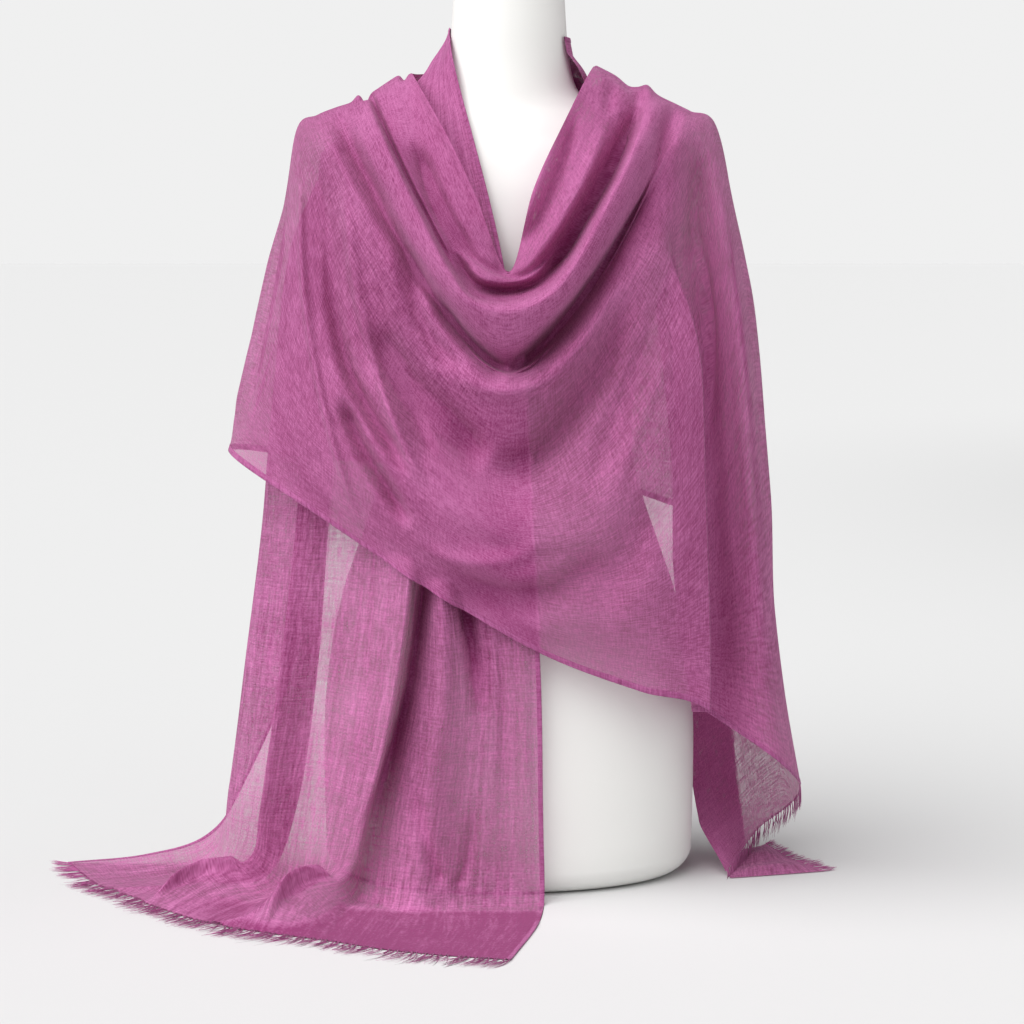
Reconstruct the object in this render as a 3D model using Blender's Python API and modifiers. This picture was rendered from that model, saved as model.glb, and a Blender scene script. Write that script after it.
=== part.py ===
"""Pashmina shawl draped on a limbless dress form.

Metres, +Z up, -Y is the front. The origin is the centre of the form's flat base, on the floor.
One rectangular shawl is wound round the form: a front fall that trails on the floor on the left, a
stretch behind the neck, a swag across the front, a fall on the right and a drape across the back.
"""

import math

import bmesh
import bpy
import numpy as np

MM = 0.001
WALL = 2.0 * MM  # thickness of the cloth
HALF_WALL = 0.5 * WALL
SEAM_GAP = 0.3 * MM  # between neighbouring stretches of the shawl
SIDE_GAP = 0.9 * MM  # the same, where the stretches meet at an angle
FLOOR_FOLD_MIN = HALF_WALL  # middle of a wall that lies on the floor

# ---------------------------------------------------------------- dress form
FORM_SEGMENTS = 36
FORM_EDGE_RADIUS = 26 * MM
FORM_EDGE_STEPS = 4
NECK_TOP = 862 * MM
NECK_ROUND = 6 * MM
# height, half width, half depth
FORM_RINGS = (
    (45, 176, 133),
    (100, 177, 134),
    (160, 176, 131),
    (220, 169, 123),
    (270, 158, 114),
    (300, 148, 106),
    (355, 129, 93),
    (400, 118, 84),
    (450, 118, 83),
    (500, 128, 90),
    (560, 146, 100),
    (600, 158, 99),
    (640, 168, 91),
    (665, 174, 83),
    (683, 172, 76),
    (696, 158, 70),
    (706, 135, 66),
    (716, 107, 62),
    (727, 82, 58),
    (742, 65, 55),
    (768, 57, 52),
    (800, 54, 51),
    (835, 52, 50),
)

# ---------------------------------------------------------------- swag and right fall
SWAG_FORM_GAP = 12 * MM
PLAN_POWER = 2.2  # squareness of the swag's plan, 2 is an ellipse
PLAN_SHARPNESS = 0.45
STATION_LENGTH = 60 * MM  # roughly, between two stations of a fold
RIGHT_SILHOUETTE_STATION = 6.0
RIGHT_SELVEDGE_STATION = 8.0
# One row for each fold that runs round the front, from the neck edge down to the hem, in mm:
# fold, how far its middle stands in front of the form's axis, y at its ends, then x and z on the
# left silhouette, left front, left chest, middle, right chest, right front and right silhouette.
SWAG_FOLDS = (
    ("neck edge", 124, 2, (-91, 758), (-56, 696), (-30, 642), (0, 573), (22, 646), (48, 703), (80, 764)),
    ("roll 1", 142, 0, (-102, 757), (-73, 658), (-43, 599), (-3, 568), (41, 597), (84, 661), (121, 743)),
    ("roll 2", 174, 0, (-130, 739), (-95, 666), (-55, 586), (-5, 548), (45, 572), (92, 648), (134, 738)),
    ("roll 2 low", 172, 0, (-147, 731), (-105, 637), (-58, 559), (-5, 517), (52, 551), (105, 642), (145, 733)),
    ("valley 3", 134, 0, (-163, 726), (-112, 624), (-53, 531), (-1, 486), (52, 529), (112, 624), (157, 727)),
    ("ridge 3", 166, 0, (-180, 719), (-119, 603), (-56, 511), (1, 473), (59, 511), (118, 610), (170, 721)),
    ("valley 4", 142, 0, (-199, 707), (-149, 556), (-85, 462), (-3, 396), (73, 447), (137, 574), (194, 709)),
    ("ridge 4", 166, 0, (-211, 640), (-170, 502), (-90, 413), (6, 351), (96, 386), (163, 502), (211, 636)),
    ("belly", 158, 0, (-234, 531), (-181, 438), (-89, 364), (15, 302), (109, 314), (176, 383), (231, 498)),
    ("lower", 160, 0, (-253, 451), (-186, 393), (-84, 323), (22, 261), (117, 246), (180, 256), (250, 288)),
    ("low band", 161, 0, (-260, 427), (-185, 374), (-80, 305), (25, 244), (118, 218), (181, 210), (264, 172)),
    ("hem", 162, 0, (-266, 404), (-183, 357), (-75, 289), (28, 230), (119, 194), (182, 170), (278, 74)),
)
# The same rows carried on round the right side, in mm: x, y, z where the cloth turns behind, and
# x, y, z on the back selvedge.
RIGHT_BACK = (
    ((88, 50, 757), (66, 68, 760)),
    ((108, 54, 742), (72, 72, 756)),
    ((122, 58, 730), (84, 78, 746)),
    ((138, 62, 716), (98, 84, 728)),
    ((150, 66, 700), (110, 90, 700)),
    ((162, 70, 684), (122, 92, 660)),
    ((182, 74, 650), (134, 92, 600)),
    ((200, 78, 572), (146, 90, 520)),
    ((214, 80, 400), (160, 74, 380)),
    ((226, 80, 230), (176, 44, 200)),
    ((233, 78, 110), (181, 16, 62)),
    ((242, 58, 22), (206, -44, 5)),
)
# The front panel ends in a vertical fold that doubles back behind its own edge.
FOLD_STATION = 5.0
FOLD_TOP_ROW = 5.0
FOLD_SET_BACK = 16 * MM
FOLD_DOUBLE_BACK = 24 * MM
FOLD_TURN = 0.16  # stations from the fold's edge to its inner turn
FOLD_END = 0.34  # stations from the fold's edge to where the right fall hangs free
# Folds that run down from the left shoulder, one row each:
# start row, start station, end row, end station, height in mm, half width in stations
SHOULDER_FOLDS = (
    (5.6, 0.55, 8.2, 2.05, 8, 0.22),
    (6.0, 0.95, 8.0, 2.45, -6, 0.16),
    (6.2, 0.22, 9.8, 1.25, 7, 0.20),
    (6.6, 0.55, 10.6, 1.65, -5, 0.14),
    (2.0, 5.3, 6.5, 5.6, 6, 0.25),
)

# ---------------------------------------------------------------- back drape
# One row for each row of the swag, in mm: z at the back selvedge of the right fall, z and depth of
# its middle, and how much the cloth stands out half way to the left.
BACK_ROWS = (
    (758, 764, 72, 60),
    (750, 757, 80, 68),
    (738, 744, 88, 74),
    (722, 720, 97, 85),
    (700, 688, 92, 78),
    (670, 650, 106, 95),
    (625, 602, 98, 87),
    (570, 548, 116, 108),
    (505, 496, 106, 98),
    (440, 448, 122, 116),
    (392, 410, 112, 106),
    (344, 374, 119, 113),
)
BACK_RIGHT_X = 112  # mm, where the back drape passes the right shoulder blade
BACK_LEFT_STATION = 5.0
BACK_GAP = 4 * MM  # between the back selvedge and the back drape

# ---------------------------------------------------------------- neck stretch
NECK_STRETCH_GAP = 5 * MM
# height and how far from the neck's axis the cloth is at its sides and at its back, in mm
NECK_PROFILE = (
    (800, 58, 57),
    (788, 62, 60),
    (777, 67, 63),
    (767, 74, 65),
    (757, 79, 67),
    (746, 84, 69),
    (737, 96, 71),
    (728, 112, 73),
    (719, 132, 76),
    (709, 148, 79),
)
NECK_RIGHT_SHARE = 0.94  # of the width on the left
NECK_TURN = (-24, 180)  # degrees round the back of the neck, from the right front to the left
NECK_STATIONS = 8

# ---------------------------------------------------------------- left fall
LEFT_FORM_GAP = 6 * MM
LEFT_HEIGHTS = (600, 450, 330, 200, 80)  # mm, of the five hanging columns
# One row for each line down the front fall, from its inner selvedge to its outer one, in mm:
# line, x y z beside the neck, then x y at each height. Each starts where the neck stretch ends.
LEFT_HANGING = (
    ("inner selvedge", (-50, -40, 760), (-9, -116), (15, -118), (22, -130), (29, -144), (31, -147)),
    ("valley 3", (-62, -43, 738), (-44, -114), (-42, -114), (-46, -134), (-32, -148), (-40, -152)),
    ("rise", (-76, -42, 727), (-74, -110), (-66, -120), (-66, -140), (-62, -158), (-78, -162)),
    ("valley 2", (-90, -40, 721), (-98, -104), (-88, -100), (-82, -108), (-96, -124), (-122, -126)),
    ("ridge 2", (-104, -36, 716), (-120, -98), (-106, -112), (-100, -136), (-114, -156), (-139, -160)),
    ("window", (-120, -30, 712), (-146, -82), (-148, -74), (-152, -82), (-166, -86), (-184, -92)),
    ("ridge 1", (-136, -22, 708), (-172, -56), (-189, -70), (-198, -88), (-213, -102), (-230, -106)),
    ("outer fold", (-147, -22, 706), (-192, -24), (-212, -22), (-222, -20), (-238, -22), (-258, -26)),
    ("outer selvedge", (-158, -16, 702), (-204, 6), (-224, 6), (-235, 5), (-252, 4), (-270, 2)),
)
# The same lines carried on over the floor, in mm: x y z where the cloth meets it, half way along
# and at the fringed end.
LEFT_TRAIN = (
    ((32, -158, 4), (25, -240, 1), (2, -356, 1)),
    ((-46, -170, 3), (-44, -250, 1), (-58, -340, 1)),
    ((-88, -180, 6), (-98, -250, 1), (-108, -320, 1)),
    ((-132, -146, 4), (-148, -214, 1), (-158, -290, 1)),
    ((-152, -168, 16), (-192, -208, 12), (-205, -264, 1)),
    ((-200, -116, 4), (-238, -176, 1), (-262, -226, 1)),
    ((-246, -98, 18), (-290, -128, 13), (-332, -146, 1)),
    ((-276, -38, 10), (-330, -66, 1), (-388, -76, 1)),
    ((-296, 4, 30), (-352, 8, 10), (-428, 14, 1)),
)

# ---------------------------------------------------------------- tail of the right end, on the floor
# One row for each line across it from front to back, in mm: x y at its inner edge, x y z in the
# middle and x y at the fringed edge.
TAIL_LINES = (
    ((209, -53), (252, -40, 1), (302, -24)),
    ((211, -34), (252, -16, 6), (290, 2)),
    ((214, -4), (250, 14, 2), (276, 32)),
    ((222, 34), (250, 48, 5), (266, 66)),
    ((232, 74), (248, 86, 1), (258, 100)),
)

# ---------------------------------------------------------------- fringe
FRINGE_STRIP = 3 * MM
FRINGE_GAP = 0.6 * MM
FRINGE_LENGTH = 17 * MM
FRINGE_TIP_HEIGHT = 1.6 * MM
RIGHT_TIP_HEIGHT = 5.0 * MM  # over the tail
LEFT_STRANDS = 120
RIGHT_STRANDS = 56
TAIL_STRANDS = 40

COLLECTION_NAME = "pashmina_shawl_on_dress_form"
MULBERRY = (0.42, 0.09, 0.28, 1.0)
MATTE_WHITE = (0.84, 0.83, 0.81, 1.0)


# ---------------------------------------------------------------- scene helpers
def clear_scene():
    for obj in list(bpy.data.objects):
        bpy.data.objects.remove(obj, do_unlink=True)


def principled(name, color, roughness):
    material = bpy.data.materials.new(name)
    material.use_nodes = True
    shader = material.node_tree.nodes["Principled BSDF"]
    shader.inputs["Base Color"].default_value = color
    shader.inputs["Roughness"].default_value = roughness
    shader.inputs["Metallic"].default_value = 0.0
    material.diffuse_color = color
    return material


def add_object(name, bm, material, collection):
    bmesh.ops.recalc_face_normals(bm, faces=bm.faces)
    mesh = bpy.data.meshes.new(name)
    bm.to_mesh(mesh)
    bm.free()
    mesh.shade_smooth()
    mesh.materials.append(material)
    obj = bpy.data.objects.new(name, mesh)
    collection.objects.link(obj)
    return obj


# ---------------------------------------------------------------- curves and surfaces
def spline_weights(position, count):
    """Indices and Catmull-Rom weights at a position along a row of control points."""
    first = min(max(int(math.floor(position)), 0), count - 2)
    t = position - first
    weights = (
        0.5 * (-t + 2 * t * t - t**3),
        0.5 * (2 - 5 * t * t + 3 * t**3),
        0.5 * (t + 4 * t * t - 3 * t**3),
        0.5 * (-t * t + t**3),
    )
    return [(first + step - 1, weight) for step, weight in enumerate(weights)]


def control_point(control, row, column):
    """Reads a control grid, carried on in a straight line past its edges."""
    rows, columns = control.shape[:2]
    if row < 0:
        return 2 * control_point(control, 0, column) - control_point(control, 1, column)
    if row >= rows:
        last = control_point(control, rows - 1, column)
        return 2 * last - control_point(control, rows - 2, column)
    if column < 0:
        return 2 * control[row, 0] - control[row, 1]
    if column >= columns:
        return 2 * control[row, columns - 1] - control[row, columns - 2]
    return control[row, column]


def surface_point(control, row, column):
    """A point of the smooth surface through a grid of control points."""
    rows, columns = control.shape[:2]
    point = np.zeros(3)
    for r, row_weight in spline_weights(row, rows):
        for c, column_weight in spline_weights(column, columns):
            point += row_weight * column_weight * control_point(control, r, c)
    return point


def form_section(z):
    """Half width and half depth of the dress form at a height."""
    heights = [ring[0] * MM for ring in FORM_RINGS]
    half_width = np.interp(z, heights, [ring[1] * MM for ring in FORM_RINGS])
    half_depth = np.interp(z, heights, [ring[2] * MM for ring in FORM_RINGS])
    return half_width, half_depth


def clear_of_form(point, gap):
    """Moves a point straight out from the form's axis until it is a gap clear of the form."""
    half_width, half_depth = form_section(point[2])
    half_width += gap
    half_depth += gap
    reach = math.hypot(point[0] / half_width, point[1] / half_depth)
    if reach >= 1 or point[2] > NECK_TOP:
        return point
    return np.array((point[0] / reach, point[1] / reach, point[2]))


def smooth_step(value):
    value = min(max(value, 0.0), 1.0)
    return value * value * (3 - 2 * value)


def surface_grid(place, row_values, column_values, gap):
    """Points of a stretch of cloth, row by row, clear of the form and not below the floor."""
    grid = []
    for row in row_values:
        line = []
        for column in column_values:
            point = clear_of_form(place(row, column), gap)
            point[2] = max(point[2], FLOOR_FOLD_MIN)
            line.append(point)
        grid.append(line)
    return grid


def cloth_wall(name, grid, material, collection):
    """An open grid of quads, given its thickness by Solidify."""
    bm = bmesh.new()
    rows = [[bm.verts.new(point) for point in line] for line in grid]
    for upper, lower in zip(rows, rows[1:]):
        for i in range(len(upper) - 1):
            bm.faces.new((upper[i], upper[i + 1], lower[i + 1], lower[i]))
    obj = add_object(name, bm, material, collection)
    solidify = obj.modifiers.new("wall", "SOLIDIFY")
    solidify.thickness = WALL
    solidify.offset = 0.0
    solidify.use_even_offset = False
    return obj


# ---------------------------------------------------------------- control grids
def plan_depth(x, plan):
    """y of a fold at x: its plan is a half oval from one silhouette round the front to the other."""
    left, middle, right, depth, side = plan
    reach = (x - middle) / ((right if x > middle else left) - middle)
    reach = min(abs(reach), 1.0)
    return side - (depth + side) * (1 - reach**PLAN_POWER) ** PLAN_SHARPNESS


def fold_plans():
    """x at the left silhouette, x in the middle, x at the right one, depth and side y of each fold."""
    return np.array([(f[3][0], f[6][0], f[9][0], f[1], f[2]) for f in SWAG_FOLDS], float) * MM


def swag_control():
    rows = []
    for fold, plan, behind in zip(SWAG_FOLDS, fold_plans() / MM, RIGHT_BACK):
        row = [(x, plan_depth(x, plan), z) for x, z in fold[3:]]
        rows.append([*row, *behind])
    return np.array(rows, float) * MM


def swag_point(control, plans, row, column):
    """A point of the swag: its height and width follow the folds, its depth their oval plan."""
    if column < 1:
        column = 1 - math.cos(0.5 * math.pi * column)
    elif RIGHT_SILHOUETTE_STATION - 1 < column < RIGHT_SILHOUETTE_STATION:
        turned = math.sin(0.5 * math.pi * (column - RIGHT_SILHOUETTE_STATION + 1))
        column = RIGHT_SILHOUETTE_STATION - 1 + turned
    point = surface_point(control, row, column)
    if column < RIGHT_SILHOUETTE_STATION:
        plan = np.zeros(plans.shape[1])
        for index, weight in spline_weights(row, len(plans)):
            plan += weight * plans[min(max(index, 0), len(plans) - 1)]
        point[1] = plan_depth(point[0], plan)
    return point


def fold_height(row, column):
    """How far the shoulder folds stand out from the swag at one place on it."""
    height = 0.0
    for row_0, station_0, row_1, station_1, fold_mm, half_width in SHOULDER_FOLDS:
        travel = (row - row_0) / (row_1 - row_0)
        if not 0 < travel < 1:
            continue
        aside = (column - station_0 - travel * (station_1 - station_0)) / half_width
        height += fold_mm * MM * math.sin(math.pi * travel) * math.exp(-aside * aside)
    return height


def swag_folds(point, row, column):
    """Adds the folds from the shoulder, and doubles the front panel back behind its right edge."""
    away = np.array((point[0], point[1], 0.0)) / math.hypot(point[0], point[1])
    point = point + away * fold_height(row, column)
    beyond = column - FOLD_STATION
    if beyond <= 0:
        return point
    share = smooth_step((row - FOLD_TOP_ROW) / 2)
    returned = smooth_step((beyond - FOLD_TURN) / (FOLD_END - FOLD_TURN))
    set_back = smooth_step(beyond / FOLD_END) - smooth_step(beyond)
    point[0] -= share * FOLD_DOUBLE_BACK * (smooth_step(beyond / FOLD_TURN) - returned)
    point[1] += share * FOLD_SET_BACK * set_back
    return point


def selvedge_at(control, z):
    """The point of the right fall's back selvedge at a height."""
    edge = control[:, -1]
    order = np.argsort(edge[:, 2])
    x = np.interp(z, edge[order, 2], edge[order, 0])
    y = np.interp(z, edge[order, 2], edge[order, 1])
    return np.array((x, y, z))


def back_control(swag):
    rows = []
    for index, (right_z, middle_z, depth, left_depth) in enumerate(BACK_ROWS):
        left = swag[index, 0]
        right = selvedge_at(swag, right_z * MM) - np.array((BACK_GAP, 0, 0))
        middle = np.array((0.0, depth * MM, middle_z * MM))
        blade_x = min(BACK_RIGHT_X * MM, 0.8 * right[0])
        right_blade = (blade_x, 0.94 * middle[1], 0.6 * right_z * MM + 0.4 * middle[2])
        left_blade = (0.68 * left[0], 0.86 * left_depth * MM, 0.55 * middle[2] + 0.45 * left[2])
        left_side = (0.94 * left[0], 0.45 * left_depth * MM, 0.15 * middle[2] + 0.85 * left[2])
        rows.append((right, right_blade, middle, left_blade, left_side, left))
    return np.array(rows, float)


def neck_control():
    rows = []
    for height, side, depth in NECK_PROFILE:
        row = []
        for step in range(NECK_STATIONS + 1):
            turn = math.radians(NECK_TURN[0] + (NECK_TURN[1] - NECK_TURN[0]) * step / NECK_STATIONS)
            share = NECK_RIGHT_SHARE if step < NECK_STATIONS / 2 else 1.0
            row.append((side * share * math.cos(turn), depth * math.sin(turn), height))
        rows.append(row)
    return np.array(rows, float) * MM


def left_control(neck):
    rows = []
    for index, (line, train) in enumerate(zip(LEFT_HANGING, LEFT_TRAIN)):
        along = index / (len(LEFT_HANGING) - 1) * (len(NECK_PROFILE) - 1)
        shoulder = surface_point(neck, along, NECK_STATIONS) / MM
        hanging = [(x, y, z) for (x, y), z in zip(line[2:], LEFT_HEIGHTS)]
        rows.append([shoulder, line[1], *hanging, *train])
    return np.array(rows, float).transpose(1, 0, 2) * MM


def tail_control():
    rows = [((*inner, 1), middle, (*outer, 1)) for inner, middle, outer in TAIL_LINES]
    return np.array(rows, float) * MM


# ---------------------------------------------------------------- pieces
def dress_form(material, collection):
    rings = []
    z, half_width, half_depth = (size * MM for size in FORM_RINGS[0])
    for step in range(FORM_EDGE_STEPS):
        turn = math.radians(90 * step / FORM_EDGE_STEPS)
        inset = FORM_EDGE_RADIUS * (1 - math.sin(turn))
        rings.append((FORM_EDGE_RADIUS * (1 - math.cos(turn)), half_width - inset, half_depth - inset))
    rings.extend(tuple(size * MM for size in ring) for ring in FORM_RINGS)
    z, half_width, half_depth = rings[-1]
    rings.append((NECK_TOP - NECK_ROUND, half_width, half_depth))
    rings.append((NECK_TOP, half_width - NECK_ROUND, half_depth - NECK_ROUND))
    bm = bmesh.new()
    loops = []
    for z, half_width, half_depth in rings:
        loop = []
        for segment in range(FORM_SEGMENTS):
            turn = 2 * math.pi * segment / FORM_SEGMENTS
            loop.append(bm.verts.new((half_width * math.cos(turn), half_depth * math.sin(turn), z)))
        loops.append(loop)
    for lower, upper in zip(loops, loops[1:]):
        for i in range(FORM_SEGMENTS):
            j = (i + 1) % FORM_SEGMENTS
            bm.faces.new((lower[i], lower[j], upper[j], upper[i]))
    bm.faces.new(loops[0])
    bm.faces.new(loops[-1])
    return add_object("dress_form", bm, material, collection)


def fringe(name, edge, outward, tip_height, material, collection):
    """A narrow strip along a cloth edge, with one tapered strand drawn out of each of its cells."""
    bm = bmesh.new()
    rings = []
    for index, point in enumerate(edge):
        along = edge[min(index + 1, len(edge) - 1)] - edge[max(index - 1, 0)]
        out = outward[index] / np.linalg.norm(outward[index])
        normal = np.cross(along, out)
        normal = normal / np.linalg.norm(normal) * HALF_WALL
        inner = point + out * FRINGE_GAP
        outer = point + out * (FRINGE_GAP + FRINGE_STRIP)
        corners = (inner - normal, outer - normal, outer + normal, inner + normal)
        rings.append([bm.verts.new(corner) for corner in corners])
    for index, (first, second) in enumerate(zip(rings, rings[1:])):
        bm.faces.new((first[0], first[1], second[1], second[0]))
        bm.faces.new((first[2], first[3], second[3], second[2]))
        bm.faces.new((first[3], first[0], second[0], second[3]))
        out = outward[index] / np.linalg.norm(outward[index])
        root = (edge[index] + edge[index + 1]) / 2 + out * FRINGE_STRIP
        tip = root + out * FRINGE_LENGTH * (0.88 + 0.12 * math.cos(2.4 * index))
        tip[2] = max(tip[2], tip_height)
        end = bm.verts.new(tip)
        around = (first[1], first[2], second[2], second[1])
        for corner, following in zip(around, (*around[1:], around[0])):
            bm.faces.new((corner, following, end))
    bm.faces.new(rings[0])
    bm.faces.new(rings[-1])
    return add_object(name, bm, material, collection)


def resampled(points, count):
    """Points at even distances along a polyline."""
    points = np.array(points)
    steps = np.linalg.norm(np.diff(points, axis=0), axis=1)
    travel = np.concatenate(([0.0], np.cumsum(steps)))
    wanted = np.linspace(0.0, travel[-1], count)
    return np.column_stack([np.interp(wanted, travel, points[:, axis]) for axis in range(3)])


def main():
    clear_scene()
    collection = bpy.data.collections.new(COLLECTION_NAME)
    bpy.context.scene.collection.children.link(collection)
    cloth = principled("mulberry_pashmina", MULBERRY, 0.85)
    white = principled("matte_white_form", MATTE_WHITE, 0.6)

    dress_form(white, collection)

    swag = swag_control()
    plans = fold_plans()

    def place_swag(row, column):
        return swag_folds(swag_point(swag, plans, row, column), row, column)

    last_row = len(SWAG_FOLDS) - 1
    rows = np.linspace(0, last_row, 31)
    half_gap = 0.5 * SEAM_GAP / STATION_LENGTH
    side_gap = SIDE_GAP / STATION_LENGTH
    seam = FOLD_STATION + FOLD_END + 0.1
    front_columns = np.concatenate((
        np.linspace(side_gap, FOLD_STATION - 0.2, 28),
        FOLD_STATION + np.array((-0.1, -0.03, 0.03, 0.08, 0.13, 0.19, 0.26, 0.34)),
        [seam - half_gap],
    ))
    front = surface_grid(place_swag, rows, front_columns, SWAG_FORM_GAP)
    cloth_wall("front_swag", front, cloth, collection)
    right_columns = np.linspace(seam + half_gap, RIGHT_SELVEDGE_STATION, 17)
    right = surface_grid(place_swag, rows, right_columns, SWAG_FORM_GAP)
    cloth_wall("right_fall", right, cloth, collection)

    back = back_control(swag)
    back_grid = surface_grid(
        lambda row, column: surface_point(back, row, column),
        np.linspace(0, last_row, 17),
        np.linspace(0, BACK_LEFT_STATION - side_gap, 21),
        SWAG_FORM_GAP,
    )
    cloth_wall("back_drape", back_grid, cloth, collection)

    neck = neck_control()
    neck_grid = surface_grid(
        lambda row, column: surface_point(neck, row, column),
        np.linspace(0, len(NECK_PROFILE) - 1, 10),
        np.linspace(0, NECK_STATIONS - half_gap, 17),
        NECK_STRETCH_GAP,
    )
    cloth_wall("neck_stretch", neck_grid, cloth, collection)

    left = left_control(neck)
    left_grid = surface_grid(
        lambda row, column: surface_point(left, row, column),
        np.linspace(2 * side_gap, len(left) - 1, 37),
        np.linspace(0, len(LEFT_HANGING) - 1, 25),
        LEFT_FORM_GAP,
    )
    cloth_wall("left_fall", left_grid, cloth, collection)

    tail = tail_control()
    tail_grid = surface_grid(
        lambda row, column: surface_point(tail, row, column),
        np.linspace(0, len(TAIL_LINES) - 1, 9),
        np.linspace(0, 2, 6),
        0.0,
    )
    cloth_wall("right_tail", tail_grid, cloth, collection)

    edge = resampled(left_grid[-1], LEFT_STRANDS + 1)
    outward = edge - resampled(left_grid[-3], LEFT_STRANDS + 1)
    outward[:, 2] = 0.0
    fringe("left_fringe", edge, outward, FRINGE_TIP_HEIGHT, cloth, collection)

    behind = [index for index, column in enumerate(right_columns) if column > RIGHT_SILHOUETTE_STATION]
    edge = resampled([right[-1][index] for index in behind], RIGHT_STRANDS + 1)
    outward = edge - resampled([right[-2][index] for index in behind], RIGHT_STRANDS + 1)
    fringe("right_fringe", edge, outward, RIGHT_TIP_HEIGHT, cloth, collection)

    edge = resampled([line[-1] for line in tail_grid], TAIL_STRANDS + 1)
    outward = edge - resampled([line[-2] for line in tail_grid], TAIL_STRANDS + 1)
    outward[:, 2] = 0.0
    fringe("tail_fringe", edge, outward, FRINGE_TIP_HEIGHT, cloth, collection)


main()
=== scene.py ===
"""Pashmina shawl draped on a limbless dress form, dressed for a studio picture.

Metres, +Z up, -Y is the front. The origin is the centre of the form's flat base, on the floor.
"""

import math

import bpy
import numpy as np
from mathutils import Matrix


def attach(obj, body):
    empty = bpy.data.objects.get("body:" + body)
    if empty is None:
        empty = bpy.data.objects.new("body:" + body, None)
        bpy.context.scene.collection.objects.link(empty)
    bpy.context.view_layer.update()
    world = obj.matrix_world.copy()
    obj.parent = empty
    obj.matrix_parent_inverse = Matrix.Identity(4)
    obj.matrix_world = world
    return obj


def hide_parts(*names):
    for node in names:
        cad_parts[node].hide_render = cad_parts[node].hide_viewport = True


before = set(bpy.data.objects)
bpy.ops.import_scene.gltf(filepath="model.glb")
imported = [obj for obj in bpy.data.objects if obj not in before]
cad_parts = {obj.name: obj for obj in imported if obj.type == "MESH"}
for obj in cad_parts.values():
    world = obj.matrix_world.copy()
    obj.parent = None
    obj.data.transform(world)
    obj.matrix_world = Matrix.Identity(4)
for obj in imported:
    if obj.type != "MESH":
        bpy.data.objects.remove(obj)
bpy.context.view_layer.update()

MM = 0.001

# ---------------------------------------------------------------- dress form, in mm
FORM_SEGMENTS = 160
FORM_LEVELS = 130
FORM_EDGE_RADIUS = 26
NECK_TOP = 862
NECK_ROUND = 6
# height, half width, half depth
FORM_RINGS = (
    (45, 176, 133),
    (100, 177, 134),
    (160, 176, 131),
    (220, 169, 123),
    (270, 158, 114),
    (300, 148, 106),
    (355, 129, 93),
    (400, 118, 84),
    (450, 118, 83),
    (500, 128, 90),
    (560, 146, 100),
    (600, 158, 99),
    (640, 168, 91),
    (665, 174, 83),
    (683, 172, 76),
    (696, 158, 70),
    (706, 135, 66),
    (716, 107, 62),
    (727, 82, 58),
    (742, 65, 55),
    (768, 57, 52),
    (800, 54, 51),
    (835, 52, 50),
)

# ---------------------------------------------------------------- swag and right fall, in mm
SWAG_FORM_GAP = 9
CREASED_FORM_GAP = 4
SWAG_LEFT_GAP = 3.5  # between the swag and the left fall behind it
FLOOR_CLEARANCE = 0.8  # between the floor and the middle of the cloth that lies on it
PLAN_POWER = 2.2
PLAN_SHARPNESS = 0.45
RIGHT_SILHOUETTE_STATION = 6.0
RIGHT_SELVEDGE_STATION = 8.0
OWN_LENGTHS_STATION = 5.7  # from here on the threads follow the right panel's own lengths
LENGTHS_EASE = 24  # columns over which those lengths are eased in
# how finely the rows and stations are divided: first, last and number of steps of each part
WRAP_ROW_PARTS = ((0, 6, 109), (6, 11, 89))
WRAP_STATION_PARTS = ((0, 1, 49), (1, 5, 189), (5, 5.5, 44), (5.5, RIGHT_SELVEDGE_STATION, 74))
BACK_COLUMNS = 109
# fold, depth of its middle, y at its ends, then x and z on the left silhouette, left front, left
# chest, middle, right chest, right front and right silhouette
SWAG_FOLDS = (
    ("neck edge", 124, 2, (-91, 758), (-56, 696), (-30, 642), (0, 573), (22, 646), (48, 703), (80, 764)),
    ("roll 1", 142, 0, (-102, 757), (-73, 658), (-43, 599), (-3, 568), (41, 597), (84, 661), (121, 743)),
    ("roll 2", 174, 0, (-130, 739), (-95, 666), (-55, 586), (-5, 548), (45, 572), (92, 648), (134, 738)),
    ("roll 2 low", 172, 0,
     (-147, 731), (-105, 637), (-58, 559), (-5, 517), (52, 551), (105, 642), (145, 733)),
    ("valley 3", 134, 0,
     (-163, 726), (-112, 624), (-53, 531), (-1, 486), (52, 529), (112, 624), (157, 727)),
    ("ridge 3", 166, 0, (-180, 719), (-119, 603), (-56, 511), (1, 473), (59, 511), (118, 610), (170, 721)),
    ("valley 4", 142, 0,
     (-199, 707), (-149, 556), (-85, 462), (-3, 396), (73, 447), (150, 574), (194, 709)),
    ("ridge 4", 173, 0, (-211, 640), (-170, 502), (-90, 413), (6, 351), (96, 386), (174, 502), (211, 636)),
    ("belly", 176, 0, (-234, 531), (-181, 438), (-89, 364), (15, 302), (112, 314), (179, 383), (231, 498)),
    ("lower", 162, 0, (-253, 451), (-186, 393), (-84, 323), (22, 261), (119, 246), (184, 256), (250, 288)),
    ("low band", 154, 0,
     (-260, 427), (-185, 374), (-80, 305), (25, 244), (119, 218), (185, 210), (264, 172)),
    ("hem", 150, 0, (-266, 404), (-183, 357), (-75, 289), (28, 230), (119, 194), (185, 172), (280, 82)),
)
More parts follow.
